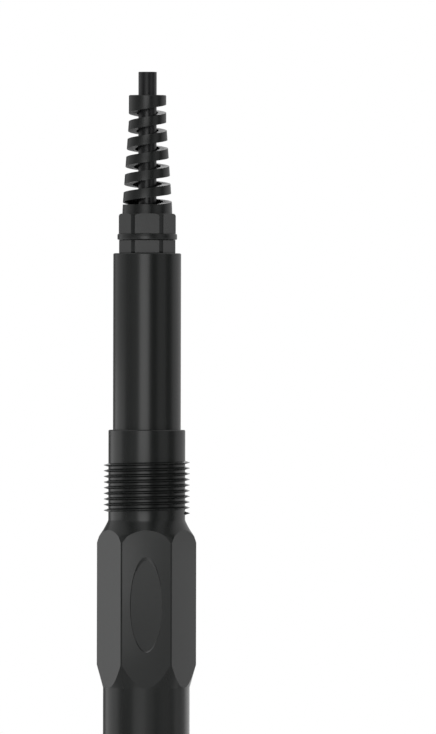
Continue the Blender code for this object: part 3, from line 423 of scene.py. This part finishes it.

# %% [markdown]
# ### Membrane and ceramic
# The sensing membrane is a film of soft PVC full of plasticiser: amber, cloudy and wet-looking, so
# light goes into it a little and a clear coat lies on top. The reference electrode ends in a porous
# ceramic, chalk-white with pores of 0.12 mm. The pores are pressed in as bump and are also painted
# a darker grey, which is painted shade in them.

# %% Membrane film
membrane_film, tree = new_material("cast_polymer_membrane")
place = add_node(tree, "ShaderNodeTexCoord").outputs["Object"]
cloud = add_node(tree, "ShaderNodeTexNoise", {"Scale": 1 / (0.9 * MM), "Detail": 4.0},
                 {"Vector": place})
amber = add_node(tree, "ShaderNodeMix", {"data_type": "RGBA", 6: linear("#b79b62"),
                                         7: linear("#d3bd8c")}, {"Factor": cloud.outputs["Fac"]})
ripple = add_node(tree, "ShaderNodeBump", {"Strength": 1.0, "Distance": 0.01 * MM},
                  {"Height": cloud.outputs["Fac"]})
shader = add_node(tree, "ShaderNodeBsdfPrincipled", {"Roughness": 0.35, "Subsurface Weight": 0.3,
                                                     "Subsurface Scale": 0.4 * MM, "Coat Weight": 0.6,
                                                     "Coat Roughness": 0.08},
                  {"Base Color": amber.outputs[2], "Normal": ripple.outputs["Normal"]})
add_node(tree, "ShaderNodeOutputMaterial", None, {"Surface": shader.outputs["BSDF"]})

# %% Porous ceramic
PORE = 0.12
porous_ceramic, tree = new_material("sintered_porous_ceramic")
place = add_node(tree, "ShaderNodeTexCoord").outputs["Object"]
grains = add_node(tree, "ShaderNodeTexVoronoi", {"Scale": 1 / (2 * PORE * MM)}, {"Vector": place})
# Painted shade: the pits between the grains get a darker grey, the same mask that presses them in as
# bump.
pore_pits_and_shade = add_node(tree, "ShaderNodeMapRange", {"From Min": 0.25, "From Max": 0.6},
                 {"Value": grains.outputs["Distance"]})
chalk_and_pore_shade = add_node(tree, "ShaderNodeMix", {"data_type": "RGBA", 6: linear("#ece9e1"),
                                         7: linear("#bdb9ae")}, {"Factor": pore_pits_and_shade.outputs["Result"]})
pitted = add_node(tree, "ShaderNodeBump", {"invert": True, "Strength": 1.0, "Distance": 0.02 * MM},
                  {"Height": pore_pits_and_shade.outputs["Result"]})
shader = add_node(tree, "ShaderNodeBsdfPrincipled", {"Roughness": 0.85},
                  {"Base Color": chalk_and_pore_shade.outputs[2], "Normal": pitted.outputs["Normal"]})
add_node(tree, "ShaderNodeOutputMaterial", None, {"Surface": shader.outputs["BSDF"]})
print("membrane and ceramic made")

# %% [markdown]
# ## Pieces that keep their own shape
# The parts inside the probe are right as the CAD model draws them, so they stay and only get their
# finishes. A finish goes into the mesh's own list of materials, which leaves the shape alone.

# %% Dress the pieces that stay
for nodes, material in [
        (["gland_seal", "gland_o_ring", "upper_tube_o_ring_1", "upper_tube_o_ring_2", "head_o_ring_1",
          "head_o_ring_2", "ammonium_o_ring", "reference_o_ring", "guard_o_ring"], seal_rubber),
        (["gland_clamp"], clamp_nylon), (["circuit_board"], board_green),
        (["cable_connector"], terminal_green), (["electrode_connector"], header_cream),
        (["power_module", "microcontroller", "transceiver_chip", "amplifier_chip"], chip_epoxy),
        (["crystal"], can_steel), (["capacitor"], capacitor_blue),
        (["ammonium_wire", "reference_wire"], silver),
        (["cable_core_black", "temperature_lead_2"], wire_black),
        (["cable_core_red", "temperature_lead_1"], wire_red), (["cable_core_green"], wire_green),
        (["cable_core_white", "ammonium_lead"], wire_white), (["reference_lead"], wire_yellow)]:
    for node in nodes:
        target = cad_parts[node].data
        target.materials.clear()
        target.materials.append(material)
    print("%-26s on %d pieces" % (material.name, len(nodes)))

# %% [markdown]
# ## The cable
# A round cable with four cores, cut square 7 mm above the strain relief. A plain tube is enough,
# because the stub is too short to bend. Each core has seven tinned strands, which show as small
# bright dots in the cut.

# %% Cable sheath
CABLE_RADIUS, CABLE_BORE, CABLE_FOOT = 2.75, 1.95, 72.1
sheath = turned([(CABLE_RADIUS, CABLE_TOP), (CABLE_RADIUS, CABLE_FOOT), (CABLE_BORE, CABLE_FOOT),
                 (CABLE_BORE, CABLE_TOP)], steps=64)
soften(sheath, 0.08)
finished("cable_sheath", sheath, sheath_pvc, "probe", "cable_jacket", "cable_jacket")

# %% Conductors at the cut end
CORE_OFFSET, STRAND_RADIUS, STRAND_REACH = 1.05, 0.05, 0.102
STRAND_LENGTH, STRAND_DEPTH = 0.3, 0.35
strands = bmesh.new()
for core in range(4):
    turn = math.radians(45 + 90 * core)
    middle = Vector((CORE_OFFSET * math.cos(turn), CORE_OFFSET * math.sin(turn),
                     CABLE_TOP - STRAND_DEPTH))
    for strand in range(7):
        away = 0.0 if strand == 0 else STRAND_REACH
        angle = math.radians(60 * strand)
        spot = (middle + Vector((away * math.cos(angle), away * math.sin(angle), 0.0))) * MM
        bmesh.ops.create_cone(strands, cap_ends=True, segments=12, radius1=STRAND_RADIUS * MM,
                              radius2=0.9 * STRAND_RADIUS * MM, depth=STRAND_LENGTH * MM,
                              matrix=Matrix.Translation(spot))
finished("conductor_strands", strands, tinned_copper, "probe", "silver_wire")

# %% [markdown]
# ## The gland nut
# One moulding does three jobs: a round flange, a hexagon for the spanner, and a tapered tube that
# a helical slot turns into a spring, so that the cable can't kink where it leaves the gland. The
# whole blank is spun first, the hexagon is milled, and the slot is cut last.

# %% Blank of the nut
nut = turned([
    (5.45, SPIRAL_TOP), (5.62, 127.3), (5.64, 119.5), (7.40, SPIRAL_FOOT), (7.52, NUT_TOP - 0.2),
    (7.0, NUT_TOP - 0.2), (7.0, NUT_FLANGE_TOP), (8.60, NUT_FLANGE_TOP), (8.87, 85.75), (8.97, 85.5),
    (8.98, 84.4), (8.90, 84.15), (8.65, NUT_FOOT), (6.3, NUT_FOOT), (6.3, 90.6), (4.85, 94.1),
    (CABLE_HOLE, 119.5), (CABLE_HOLE, SPIRAL_TOP)])
print("blank of the nut:", len(nut.faces), "faces")

# %% Hexagon of the nut
NUT_FLATS, NUT_HEX_FOOT = 15.5, 85.6
nut_hexagon = turned([(6.7, NUT_TOP), (8.0, NUT_TOP), (8.45, 91.6), (8.57, 91.15),
                      (8.57, NUT_HEX_FOOT), (6.7, NUT_HEX_FOOT)])
mill_hexagon(nut_hexagon, NUT_FLATS, NUT_HEX_FOOT - 0.1, NUT_TOP + 0.05)
nut = combine(nut, nut_hexagon, "UNION")
print("with its hexagon of", NUT_FLATS, "mm:", len(nut.faces), "faces")

# %% Slot of the strain relief
SLOT_PITCH, SLOT_WIDTH, SLOT_START = 5.35, 2.45, 96.75
SLOT_TURNS = 6 + 75 / 360
half = SLOT_WIDTH / 2
slot_bar = helix([(2.6, -half), (9.0, -half), (9.0, half), (2.6, half)],
                 SLOT_PITCH, SLOT_START - SLOT_PITCH, 0.0, SLOT_TURNS)
everything = [*slot_bar.verts, *slot_bar.edges, *slot_bar.faces]
bmesh.ops.bisect_plane(slot_bar, geom=everything, dist=CUT_TOLERANCE,
                       plane_co=(0, 0, SPIRAL_FOOT * MM), plane_no=(0, 0, -1), clear_outer=True)
bmesh.ops.holes_fill(slot_bar, edges=[e for e in slot_bar.edges if e.is_boundary], sides=0)
bmesh.ops.recalc_face_normals(slot_bar, faces=slot_bar.faces[:])
nut = combine(nut, slot_bar)
soften(nut, 0.12, above=50.0)
finished("strain_relief_nut", nut, gland_nylon, "nut", "black_plastic", "gland_nut")

# %% [markdown]
# ## The gland body
# The fixed half of the gland: a hexagon that matches the nut's, with a thread above it for the nut
# and a shank below it in the tube. The thread shows when the nut is backed off, so it is a real
# ridge, swept up a helix and joined on. Bump alone would leave its silhouette straight.

# %% Gland body
GLAND_FLATS, GLAND_SHANK, GLAND_HEX_FOOT = 15.3, 6.0, 80.04
gland = turned([
    (5.6, 90.4), (GLAND_SHANK, 90.0), (GLAND_SHANK, GLAND_TOP), (8.47, GLAND_TOP),
    (8.47, GLAND_HEX_FOOT), (GLAND_SHANK, GLAND_HEX_FOOT), (GLAND_SHANK, 72.9), (5.6, 72.5),
    (CABLE_HOLE, 72.5), (CABLE_HOLE, 84.5), (4.9, 84.5), (4.9, 90.4)])
mill_hexagon(gland, GLAND_FLATS, TUBE_TOP, GLAND_TOP + 0.05)
soften(gland, 0.12, above=50.0)
NUT_THREAD_PITCH = 1.5
gland_ridge = helix([(5.9, -0.5), (6.24, -0.1), (6.24, 0.1), (5.9, 0.5)],
                    NUT_THREAD_PITCH, 84.8, 90.0, 3)
gland = combine(gland, gland_ridge, "UNION")
finished("gland_fitting", gland, gland_nylon, "probe", "black_plastic", "gland_body")

# %% [markdown]
# ## The upper tube
# A plain tube, closed at the top round the gland's thread, with a spigot that slides into the
# housing and two grooves for its seals. One closed outline gives all of it, bore and grooves too, so
# nothing has to be cut afterwards. It has 128 steps, because its long bright edge shows every facet.

# %% Upper tube
TUBE_RADIUS, TUBE_FOOT, SPIGOT, SEAL_SEAT, TUBE_BORE = 10.2, 27.04, 9.1, 8.26, 7.8
tube_outline = [
    (9.95, TUBE_TOP), (TUBE_RADIUS, 79.75), (TUBE_RADIUS, TUBE_FOOT), (SPIGOT, TUBE_FOOT),
    (SPIGOT, 23.9), (SEAL_SEAT, 23.9), (SEAL_SEAT, 22.5), (SPIGOT, 22.5),
    (SPIGOT, 19.9), (SEAL_SEAT, 19.9), (SEAL_SEAT, 18.5), (SPIGOT, 18.5),
    (SPIGOT, 12.5), (TUBE_BORE, 12.5), (TUBE_BORE, 72.0), (6.3, 72.0), (6.3, 78.8), (7.4, 78.8),
    (7.4, TUBE_TOP)]
tube = turned(tube_outline, steps=128)
finished("upper_tube_shell", tube, black_acetal, "probe", "black_plastic", "upper_tube")

# %% [markdown]
# ## The housing
# Collar, pipe thread, neck, spanner hexagon and lower tube are one moulding. The round blank
# follows the outline in the photograph, the hexagon is milled, the thread's ridge is swept up
# a helix and joined on, and a stretched dish cuts the shallow oval pocket into the front flat. The
# pocket leans a little, so that its edge is crisp at the top and fades at the foot.

# %% Blank of the housing
STEM, HEX_ROUND, HEX_FLATS, HEAD_SOCKET, SPIGOT_SOCKET = 11.55, 14.92, 26.1, 10.95, 9.4
housing_outline = [
    (STEM - 0.25, COLLAR_TOP), (STEM, COLLAR_TOP - 0.25), (STEM, 0.0), (11.7, -0.5), (12.3, -1.7),
    (12.95, -2.9), (13.76, -4.1), (14.33, -5.0), (14.5, -5.6), (14.72, -6.2), (HEX_ROUND, -6.9),
    (HEX_ROUND, -43.5), (13.05, -50.35), (GRIP_RADIUS, HEX_FOOT), (GRIP_RADIUS, -86.8),
    (GRIP_EDGE, HOUSING_FOOT), (HEAD_SOCKET, HOUSING_FOOT), (HEAD_SOCKET, -72.5), (TUBE_BORE, -72.5),
    (TUBE_BORE, 12.2), (SPIGOT_SOCKET, 12.2), (SPIGOT_SOCKET, COLLAR_TOP)]
housing = turned(housing_outline)
mill_hexagon(housing, HEX_FLATS, HEX_FOOT - 0.05, 0.05)
print("blank of the housing:", len(housing.faces), "faces")

# %% Thread
THREAD_PITCH, THREAD_FOOT, THREAD_TURNS, THREAD_TIP = 1.695, 1.95, 9, 12.9
ridge = helix([(STEM - 0.3, -0.62), (THREAD_TIP, -0.07), (THREAD_TIP, 0.07), (STEM - 0.3, 0.62)],
              THREAD_PITCH, THREAD_FOOT, 0.0, THREAD_TURNS)
housing = combine(housing, ridge, "UNION")
print("thread of", THREAD_TURNS, "turns, pitch", THREAD_PITCH, "mm")

# %% Oval pocket
POCKET_DEPTH, POCKET_WIDTH, POCKET_LENGTH, POCKET_MIDDLE = 0.15, 9.7, 28.6, -25.7
WALL_REACH, DISH_DEPTH, POCKET_TILT = 0.16, 0.08, -0.44
OVERRUN = 1.0
rim = POCKET_WIDTH / 2 + WALL_REACH / POCKET_DEPTH * OVERRUN
dish = [((POCKET_WIDTH / 2 - WALL_REACH) * part, POCKET_DEPTH + DISH_DEPTH * (1 - part ** 2))
        for part in (1.0, 0.97, 0.9, 0.8, 0.7, 0.6, 0.5, 0.4, 0.3, 0.2, 0.1, 0.0)]
pocket = turned([(0.0, -OVERRUN), (rim, -OVERRUN)] + dish, 128, False)
bmesh.ops.rotate(pocket, verts=pocket.verts[:], cent=(0, 0, 0),
                 matrix=Matrix.Rotation(math.radians(-90), 3, "X"))
bmesh.ops.scale(pocket, verts=pocket.verts[:], vec=(1.0, 1.0, POCKET_LENGTH / POCKET_WIDTH))
bmesh.ops.rotate(pocket, verts=pocket.verts[:], cent=(0, 0, 0),
                 matrix=Matrix.Rotation(math.radians(POCKET_TILT), 3, "X"))
bmesh.ops.translate(pocket, verts=pocket.verts[:],
                    vec=(0.0, -HEX_FLATS / 2 * MM, POCKET_MIDDLE * MM))
bmesh.ops.recalc_face_normals(pocket, faces=pocket.faces[:])
housing = combine(housing, pocket)
finished("probe_housing", housing, black_acetal, "probe", "black_plastic", "main_housing")

# %% [markdown]
# ## The sensing head
# A plug closes the housing. Its flange shows between housing and guard, its nose carries the three
# sockets, and the guard screws on in between. The blank is spun, and cylinders bore the sockets and
# the leads' passages. The thread is a shallow groove, since a ridge would meet the guard's seal.

# %% Head
HEAD_SPIGOT, HEAD_SEAL_SEAT, HEAD_THREAD, NOSE = 10.65, 9.83, 11.0, 10.4
head = turned([
    (0.0, -72.8), (10.25, -72.8), (HEAD_SPIGOT, -73.2),
    (HEAD_SPIGOT, -78.5), (HEAD_SEAL_SEAT, -78.5), (HEAD_SEAL_SEAT, -79.9), (HEAD_SPIGOT, -79.9),
    (HEAD_SPIGOT, -82.5), (HEAD_SEAL_SEAT, -82.5), (HEAD_SEAL_SEAT, -83.9), (HEAD_SPIGOT, -83.9),
    (HEAD_SPIGOT, FLANGE_TOP), (GRIP_EDGE, FLANGE_TOP), (GRIP_RADIUS, FLANGE_TOP - 0.2),
    (GRIP_RADIUS, FLANGE_FOOT + 0.2), (GRIP_EDGE, FLANGE_FOOT), (HEAD_THREAD, FLANGE_FOOT),
    (HEAD_THREAD, -102.2), (NOSE, -102.2), (NOSE, -113.8), (10.0, NOSE_FOOT), (0.0, NOSE_FOOT)],
    ring=False)
GUARD_THREAD_PITCH = 1.52
head_groove = helix([(11.1, -0.52), (10.74, -0.12), (10.74, 0.12), (11.1, 0.52)],
                    GUARD_THREAD_PITCH, -101.4, 0.0, 6)
print("blank of the head:", len(head.faces), "faces")

# %% Sockets of the head
for x, y, socket, passage in [(-ELECTRODE_PLACE, 0.0, 4.3, 1.1), (ELECTRODE_PLACE, 0.0, 4.3, 1.1),
                              (0.0, THERMOMETER_PLACE, 2.3, 1.3)]:
    for radius, high, low, steps in [(socket, -98.2, -115.0, 48), (passage, -72.0, -99.0, 32)]:
        hole = turned([(0.0, high), (radius, high), (radius, low), (0.0, low)], steps, False, (x, y))
        head = combine(head, hole)
head = combine(head, head_groove)
finished("head_plug", head, black_acetal, "probe", "black_plastic", "head_body")

# %% [markdown]
# ## Electrodes and thermometer
# Two cartridges are turned from grey plastic, each with a collar that rests against the head. The
# left one carries the soft membrane, the right one a porous plug. The thermometer sits behind the
# front window in a steel sheath with a round end. Each is spun about an axis of its own and then
# moved to its socket.

# %% Cartridges
CARTRIDGE, COLLAR, ELECTRODE_TOP, COLLAR_HIGH, COLLAR_LOW = 4.0, 4.7, -98.5, -114.4, -116.4
for kind, x in [("ammonium", -ELECTRODE_PLACE), ("reference", ELECTRODE_PLACE)]:
    body = turned([
        (3.6, ELECTRODE_TOP), (CARTRIDGE, -98.9), (CARTRIDGE, -107.5), (3.44, -107.5), (3.44, -108.9),
        (CARTRIDGE, -108.9), (CARTRIDGE, COLLAR_HIGH), (COLLAR, COLLAR_HIGH), (COLLAR, COLLAR_LOW),
        (CARTRIDGE, COLLAR_LOW), (CARTRIDGE, -139.8), (3.6, ELECTRODE_FOOT), (3.2, ELECTRODE_FOOT),
        (3.2, -139.3), (2.6, -139.3), (2.6, -103.5), (0.9, -103.5), (0.9, ELECTRODE_TOP)],
        64, True, (x, 0.0))
    soften(body, 0.1)
    finished(kind + "_cartridge", body, cartridge_pvc, "probe", "electrode_plastic",
             kind + "_electrode")

# %% Membrane and plug
DISC_TOP = -139.42
disc = [(3.0, DISC_TOP), (3.0, -140.0), (2.2, -140.08), (0.0, -140.1)]
film = turned([(0.0, DISC_TOP)] + disc, 48, False, (-ELECTRODE_PLACE, 0.0))
finished("membrane_disc", film, membrane_film, "probe", "membrane", "ammonium_membrane")
plug = turned([(0.0, -137.08), (2.4, -137.08), (2.4, DISC_TOP)] + disc, 48, False,
              (ELECTRODE_PLACE, 0.0))
finished("junction_plug", plug, porous_ceramic, "probe", "porous_plug", "reference_junction")

# %% Thermometer
SHEATH, TIP_START = 2.0, -136.2
sheath_outline = [(0.0, ELECTRODE_TOP), (SHEATH, ELECTRODE_TOP), (SHEATH, COLLAR_HIGH),
                  (2.6, COLLAR_HIGH), (2.6, COLLAR_LOW), (SHEATH, COLLAR_LOW)]
for degrees in range(0, 90, 15):
    angle = math.radians(degrees)
    sheath_outline.append((SHEATH * math.cos(angle), TIP_START - SHEATH * math.sin(angle)))
sheath_outline.append((0.0, TIP_START - SHEATH))
tip = turned(sheath_outline, 48, False, (0.0, THERMOMETER_PLACE))
finished("temperature_sheath", tip, sheath_steel, "probe", "sheath_steel", "temperature_probe")

# %% [markdown]
# ## The guard
# A tube with four tall windows keeps knocks off the electrodes and lets the water through. One
# cutter, a rod that is pulled to a long oval with round ends, opens two windows at a time.

# %% Guard
GUARD_BORE, MOUTH_BORE, MOUTH_DEPTH = 11.3, 12.2, -91.6
guard = turned([(GRIP_EDGE, GUARD_TOP), (GRIP_RADIUS, GUARD_TOP - 0.2), (GRIP_RADIUS, -161.1),
                (12.1, GUARD_FOOT), (GUARD_BORE, GUARD_FOOT), (GUARD_BORE, MOUTH_DEPTH),
                (MOUTH_BORE, MOUTH_DEPTH), (MOUTH_BORE, GUARD_TOP)])
print("blank of the guard:", len(guard.faces), "faces")

# %% Windows of the guard
WINDOW_RADIUS, WINDOW_STRETCH, WINDOW_LOW, CUTTER_LENGTH = 5, 20, -145.0, 40
for turn in (0.0, 90.0):
    window = bmesh.new()
    bmesh.ops.create_cone(window, cap_ends=True, segments=64, radius1=WINDOW_RADIUS * MM,
                          radius2=WINDOW_RADIUS * MM, depth=CUTTER_LENGTH * MM)
    upper = [v for v in window.verts if v.co.y > 1e-9]
    bmesh.ops.translate(window, verts=upper, vec=(0.0, WINDOW_STRETCH * MM, 0.0))
    bmesh.ops.rotate(window, verts=window.verts[:], cent=(0, 0, 0),
                     matrix=Matrix.Rotation(math.radians(90), 3, "X"))
    bmesh.ops.rotate(window, verts=window.verts[:], cent=(0, 0, 0),
                     matrix=Matrix.Rotation(math.radians(turn), 3, "Z"))
    bmesh.ops.translate(window, verts=window.verts[:], vec=(0.0, 0.0, WINDOW_LOW * MM))
    guard = combine(guard, window)
soften(guard, 0.25, above=50.0)
finished("guard_tube_shell", guard, black_acetal, "guard_tube", "black_plastic", "guard")

# %% [markdown]
# ## Camera, floor and light
# The photograph is taken level, from far away, with the probe left of the middle. So the lens is
# long, and the camera stands as far off as that lens needs to take in the frame's height.

# %% Camera
FRAME_HEIGHT, LENS, SENSOR = 220.5, 600.0, 36.0
AXIS_OFFSET, EYE_HEIGHT, ROLL = 21.33, 45.9, -0.12
lens = bpy.data.cameras.new("camera")
lens.lens, lens.sensor_width, lens.sensor_fit = LENS, SENSOR, "AUTO"
lens.clip_start, lens.clip_end = 0.1, 100.0
camera = bpy.data.objects.new("camera", lens)
bpy.context.scene.collection.objects.link(camera)
camera.location = (AXIS_OFFSET * MM, -FRAME_HEIGHT * MM * LENS / SENSOR, EYE_HEIGHT * MM)
camera.rotation_euler = (math.pi / 2, math.radians(ROLL), 0.0)
bpy.context.scene.camera = camera
print("camera at", [round(v, 3) for v in camera.location])

# %% [markdown]
# The floor is a pale disc just under the guard's lowest place. It fades to white towards its rim,
# for the camera's rays alone, so that it runs into the white background. From below it is clear,
# so that the underside of the probe can be looked at.

# %% Floor
FLOOR_RADIUS, FLOOR_HEIGHT = 1300, -170.5
floor_shape = bmesh.new()
bmesh.ops.create_circle(floor_shape, cap_ends=True, segments=64, radius=FLOOR_RADIUS * MM)
bmesh.ops.translate(floor_shape, verts=floor_shape.verts[:], vec=(0.0, 0.0, FLOOR_HEIGHT * MM))
floor_mesh = bpy.data.meshes.new("floor")
floor_shape.to_mesh(floor_mesh)
floor_shape.free()
floor = bpy.data.objects.new("floor", floor_mesh)
bpy.context.scene.collection.objects.link(floor)
print("floor of", FLOOR_RADIUS, "mm radius at", FLOOR_HEIGHT, "mm")

# %% Floor paint
floor_paint, tree = new_material("matt_white_floor")
place = add_node(tree, "ShaderNodeTexCoord").outputs["Object"]
cloudy = add_node(tree, "ShaderNodeTexNoise", {"Scale": 9.0, "Detail": 3.0}, {"Vector": place})
paint = add_node(tree, "ShaderNodeMix", {"data_type": "RGBA", 6: linear("#ececec"),
                                         7: linear("#f1f1f1")}, {"Factor": cloudy.outputs["Fac"]})
diffuse = add_node(tree, "ShaderNodeBsdfDiffuse", None, {"Color": paint.outputs[2]})
clear = add_node(tree, "ShaderNodeBsdfTransparent")
side = add_node(tree, "ShaderNodeNewGeometry")
white = add_node(tree, "ShaderNodeEmission", {"Strength": 1.0})
rays = add_node(tree, "ShaderNodeLightPath")
from_middle = add_node(tree, "ShaderNodeSeparateXYZ", None, {"Vector": place})
squares = [add_node(tree, "ShaderNodeMath", {"operation": "POWER", 1: 2.0},
                    {0: from_middle.outputs[axis]}) for axis in ("X", "Y")]
total = add_node(tree, "ShaderNodeMath", {"operation": "ADD"},
                 {0: squares[0].outputs[0], 1: squares[1].outputs[0]})
fade = add_node(tree, "ShaderNodeMapRange", {"From Min": 0.04, "From Max": 1.2, "To Min": 0.55},
                {"Value": total.outputs[0]})
seen = add_node(tree, "ShaderNodeMath", {"operation": "MULTIPLY"},
                {0: fade.outputs["Result"], 1: rays.outputs["Is Camera Ray"]})
blend = add_node(tree, "ShaderNodeMixShader", None,
                 {0: seen.outputs[0], 1: diffuse.outputs[0], 2: white.outputs[0]})
under = add_node(tree, "ShaderNodeMixShader", None,
                 {0: side.outputs["Backfacing"], 1: blend.outputs[0], 2: clear.outputs[0]})
add_node(tree, "ShaderNodeOutputMaterial", None, {"Surface": under.outputs[0]})
floor_mesh.materials.append(floor_paint)

# %% [markdown]
# The room is a ring of grey panels that only reflections see. A black, satin, round piece mirrors it
# as upright bands, so the ramp's levels say where each band is bright or dark. Azimuth 0 is the
# camera's side. The white backdrop behind the probe lights faces that are seen at a low angle, such
# as the sides of the spiral slot. The camera itself sees plain white.

# %% World
world = bpy.data.worlds.new("studio")
bpy.context.scene.world = world
world.use_nodes = True
tree = world.node_tree
tree.nodes.clear()
direction = add_node(tree, "ShaderNodeTexCoord").outputs["Generated"]
parts = add_node(tree, "ShaderNodeSeparateXYZ", None, {"Vector": direction})
behind = add_node(tree, "ShaderNodeMath", {"operation": "MULTIPLY", 1: -1.0}, {0: parts.outputs["Y"]})
azimuth = add_node(tree, "ShaderNodeMath", {"operation": "ARCTAN2"},
                   {0: parts.outputs["X"], 1: behind.outputs[0]})
place_on_ramp = add_node(tree, "ShaderNodeMapRange", {"From Min": -math.pi, "From Max": math.pi},
                         {"Value": azimuth.outputs[0]})
studio = add_node(tree, "ShaderNodeValToRGB", None, {"Fac": place_on_ramp.outputs["Result"]})
levels = [(-180, 1.3), (-166, 0.3), (-150, 0.08), (-142, 0.25), (-134, 0.62), (-120, 0.64),
          (-90, 0.52), (-78, 0.42), (-70, 0.24), (-62, 0.06), (-50, 0.06), (-38, 0.3), (-28, 0.5),
          (-20, 0.75), (-4, 0.78), (4, 0.5), (10, 0.2), (16, 0.03), (31, 0.02), (39, 0.44),
          (60, 0.48), (66, 0.35), (72, 0.07), (86, 0.1), (93, 0.32), (100, 0.62), (118, 0.66),
          (138, 0.6), (165, 0.5), (179.9, 1.3)]
ramp = studio.color_ramp
for i, (angle, level) in enumerate(levels):
    spot = (angle + 180) / 360
    element = ramp.elements[i] if i < 2 else ramp.elements.new(spot)
    element.position = spot
    element.color = (level, level, level, 1.0)
rays = add_node(tree, "ShaderNodeLightPath")
lit = add_node(tree, "ShaderNodeBackground", {"Strength": 1.0}, {"Color": studio.outputs["Color"]})
white_level = add_node(tree, "ShaderNodeBackground", {"Color": (1.0, 1.0, 1.0, 1.0)})
shown = add_node(tree, "ShaderNodeMath", {"operation": "MAXIMUM"},
                 {0: rays.outputs["Is Camera Ray"], 1: rays.outputs["Is Transmission Ray"]})
whole = add_node(tree, "ShaderNodeMixShader", None,
                 {0: shown.outputs[0], 1: lit.outputs[0], 2: white_level.outputs[0]})
add_node(tree, "ShaderNodeOutputWorld", None, {"Surface": whole.outputs[0]})
print("room with", len(levels), "levels")

# %% [markdown]
# The bands also change from one height to the next, which a far ring can't do. Upright softboxes
# near the probe add that light: for the gland and the upper tube, for the faces of the hexagon, and
# for the lower tube.

# %% Softboxes


def softbox(name, low_angle, high_angle, distance, low, high, radiance):
    """An upright panel between two azimuths and two heights. Azimuth 0 is in front, + is right."""
    middle = math.radians((low_angle + high_angle) / 2)
    half_turn = math.radians((high_angle - low_angle) / 2)
    lamp = bpy.data.lights.new(name, "AREA")
    lamp.shape = "RECTANGLE"
    lamp.size, lamp.size_y = 2 * distance * math.tan(half_turn) * MM, (high - low) * MM
    lamp.energy = math.pi * lamp.size * lamp.size_y * radiance
    box = bpy.data.objects.new(name, lamp)
    bpy.context.scene.collection.objects.link(box)
    outward = Vector((math.sin(middle), -math.cos(middle), 0.0))
    box.location = outward * distance * MM + Vector((0.0, 0.0, (low + high) / 2 * MM))
    box.rotation_mode = "QUATERNION"
    box.rotation_quaternion = outward.to_track_quat("Z", "Y")
    box.visible_camera = False
    print("%-18s %4d to %4d degrees, radiance %.2f" % (name, low_angle, high_angle, radiance))


softbox("key_softbox", -24, 7, 150, 4, 102, 1.3)
softbox("cable_softbox", -22, 8, 60, 124, 142, 1.3)
softbox("fill_softbox", -66, -40, 200, 0, 140, 0.22)
softbox("left_softbox", -134, -78, 200, -115, 44, 0.46)
softbox("right_softbox", 117, 165, 70, -150, -8, 0.5)
softbox("face_softbox", -26, -2, 60, -26, -4, 1.1)
softbox("low_face_softbox", -26, -2, 60, -42, -26, 0.6)
softbox("low_strip", -34, -2, 150, -130, -60, 0.5)
softbox("low_middle_strip", -2, 20, 150, -130, -60, 0.2)
softbox("low_right_strip", 76, 92, 150, -130, -60, 0.35)

# %% [markdown]
# The Standard view shows the light's own levels, with no film curve: white stays plain white.

# %% View settings
bpy.context.scene.view_settings.view_transform = "Standard"
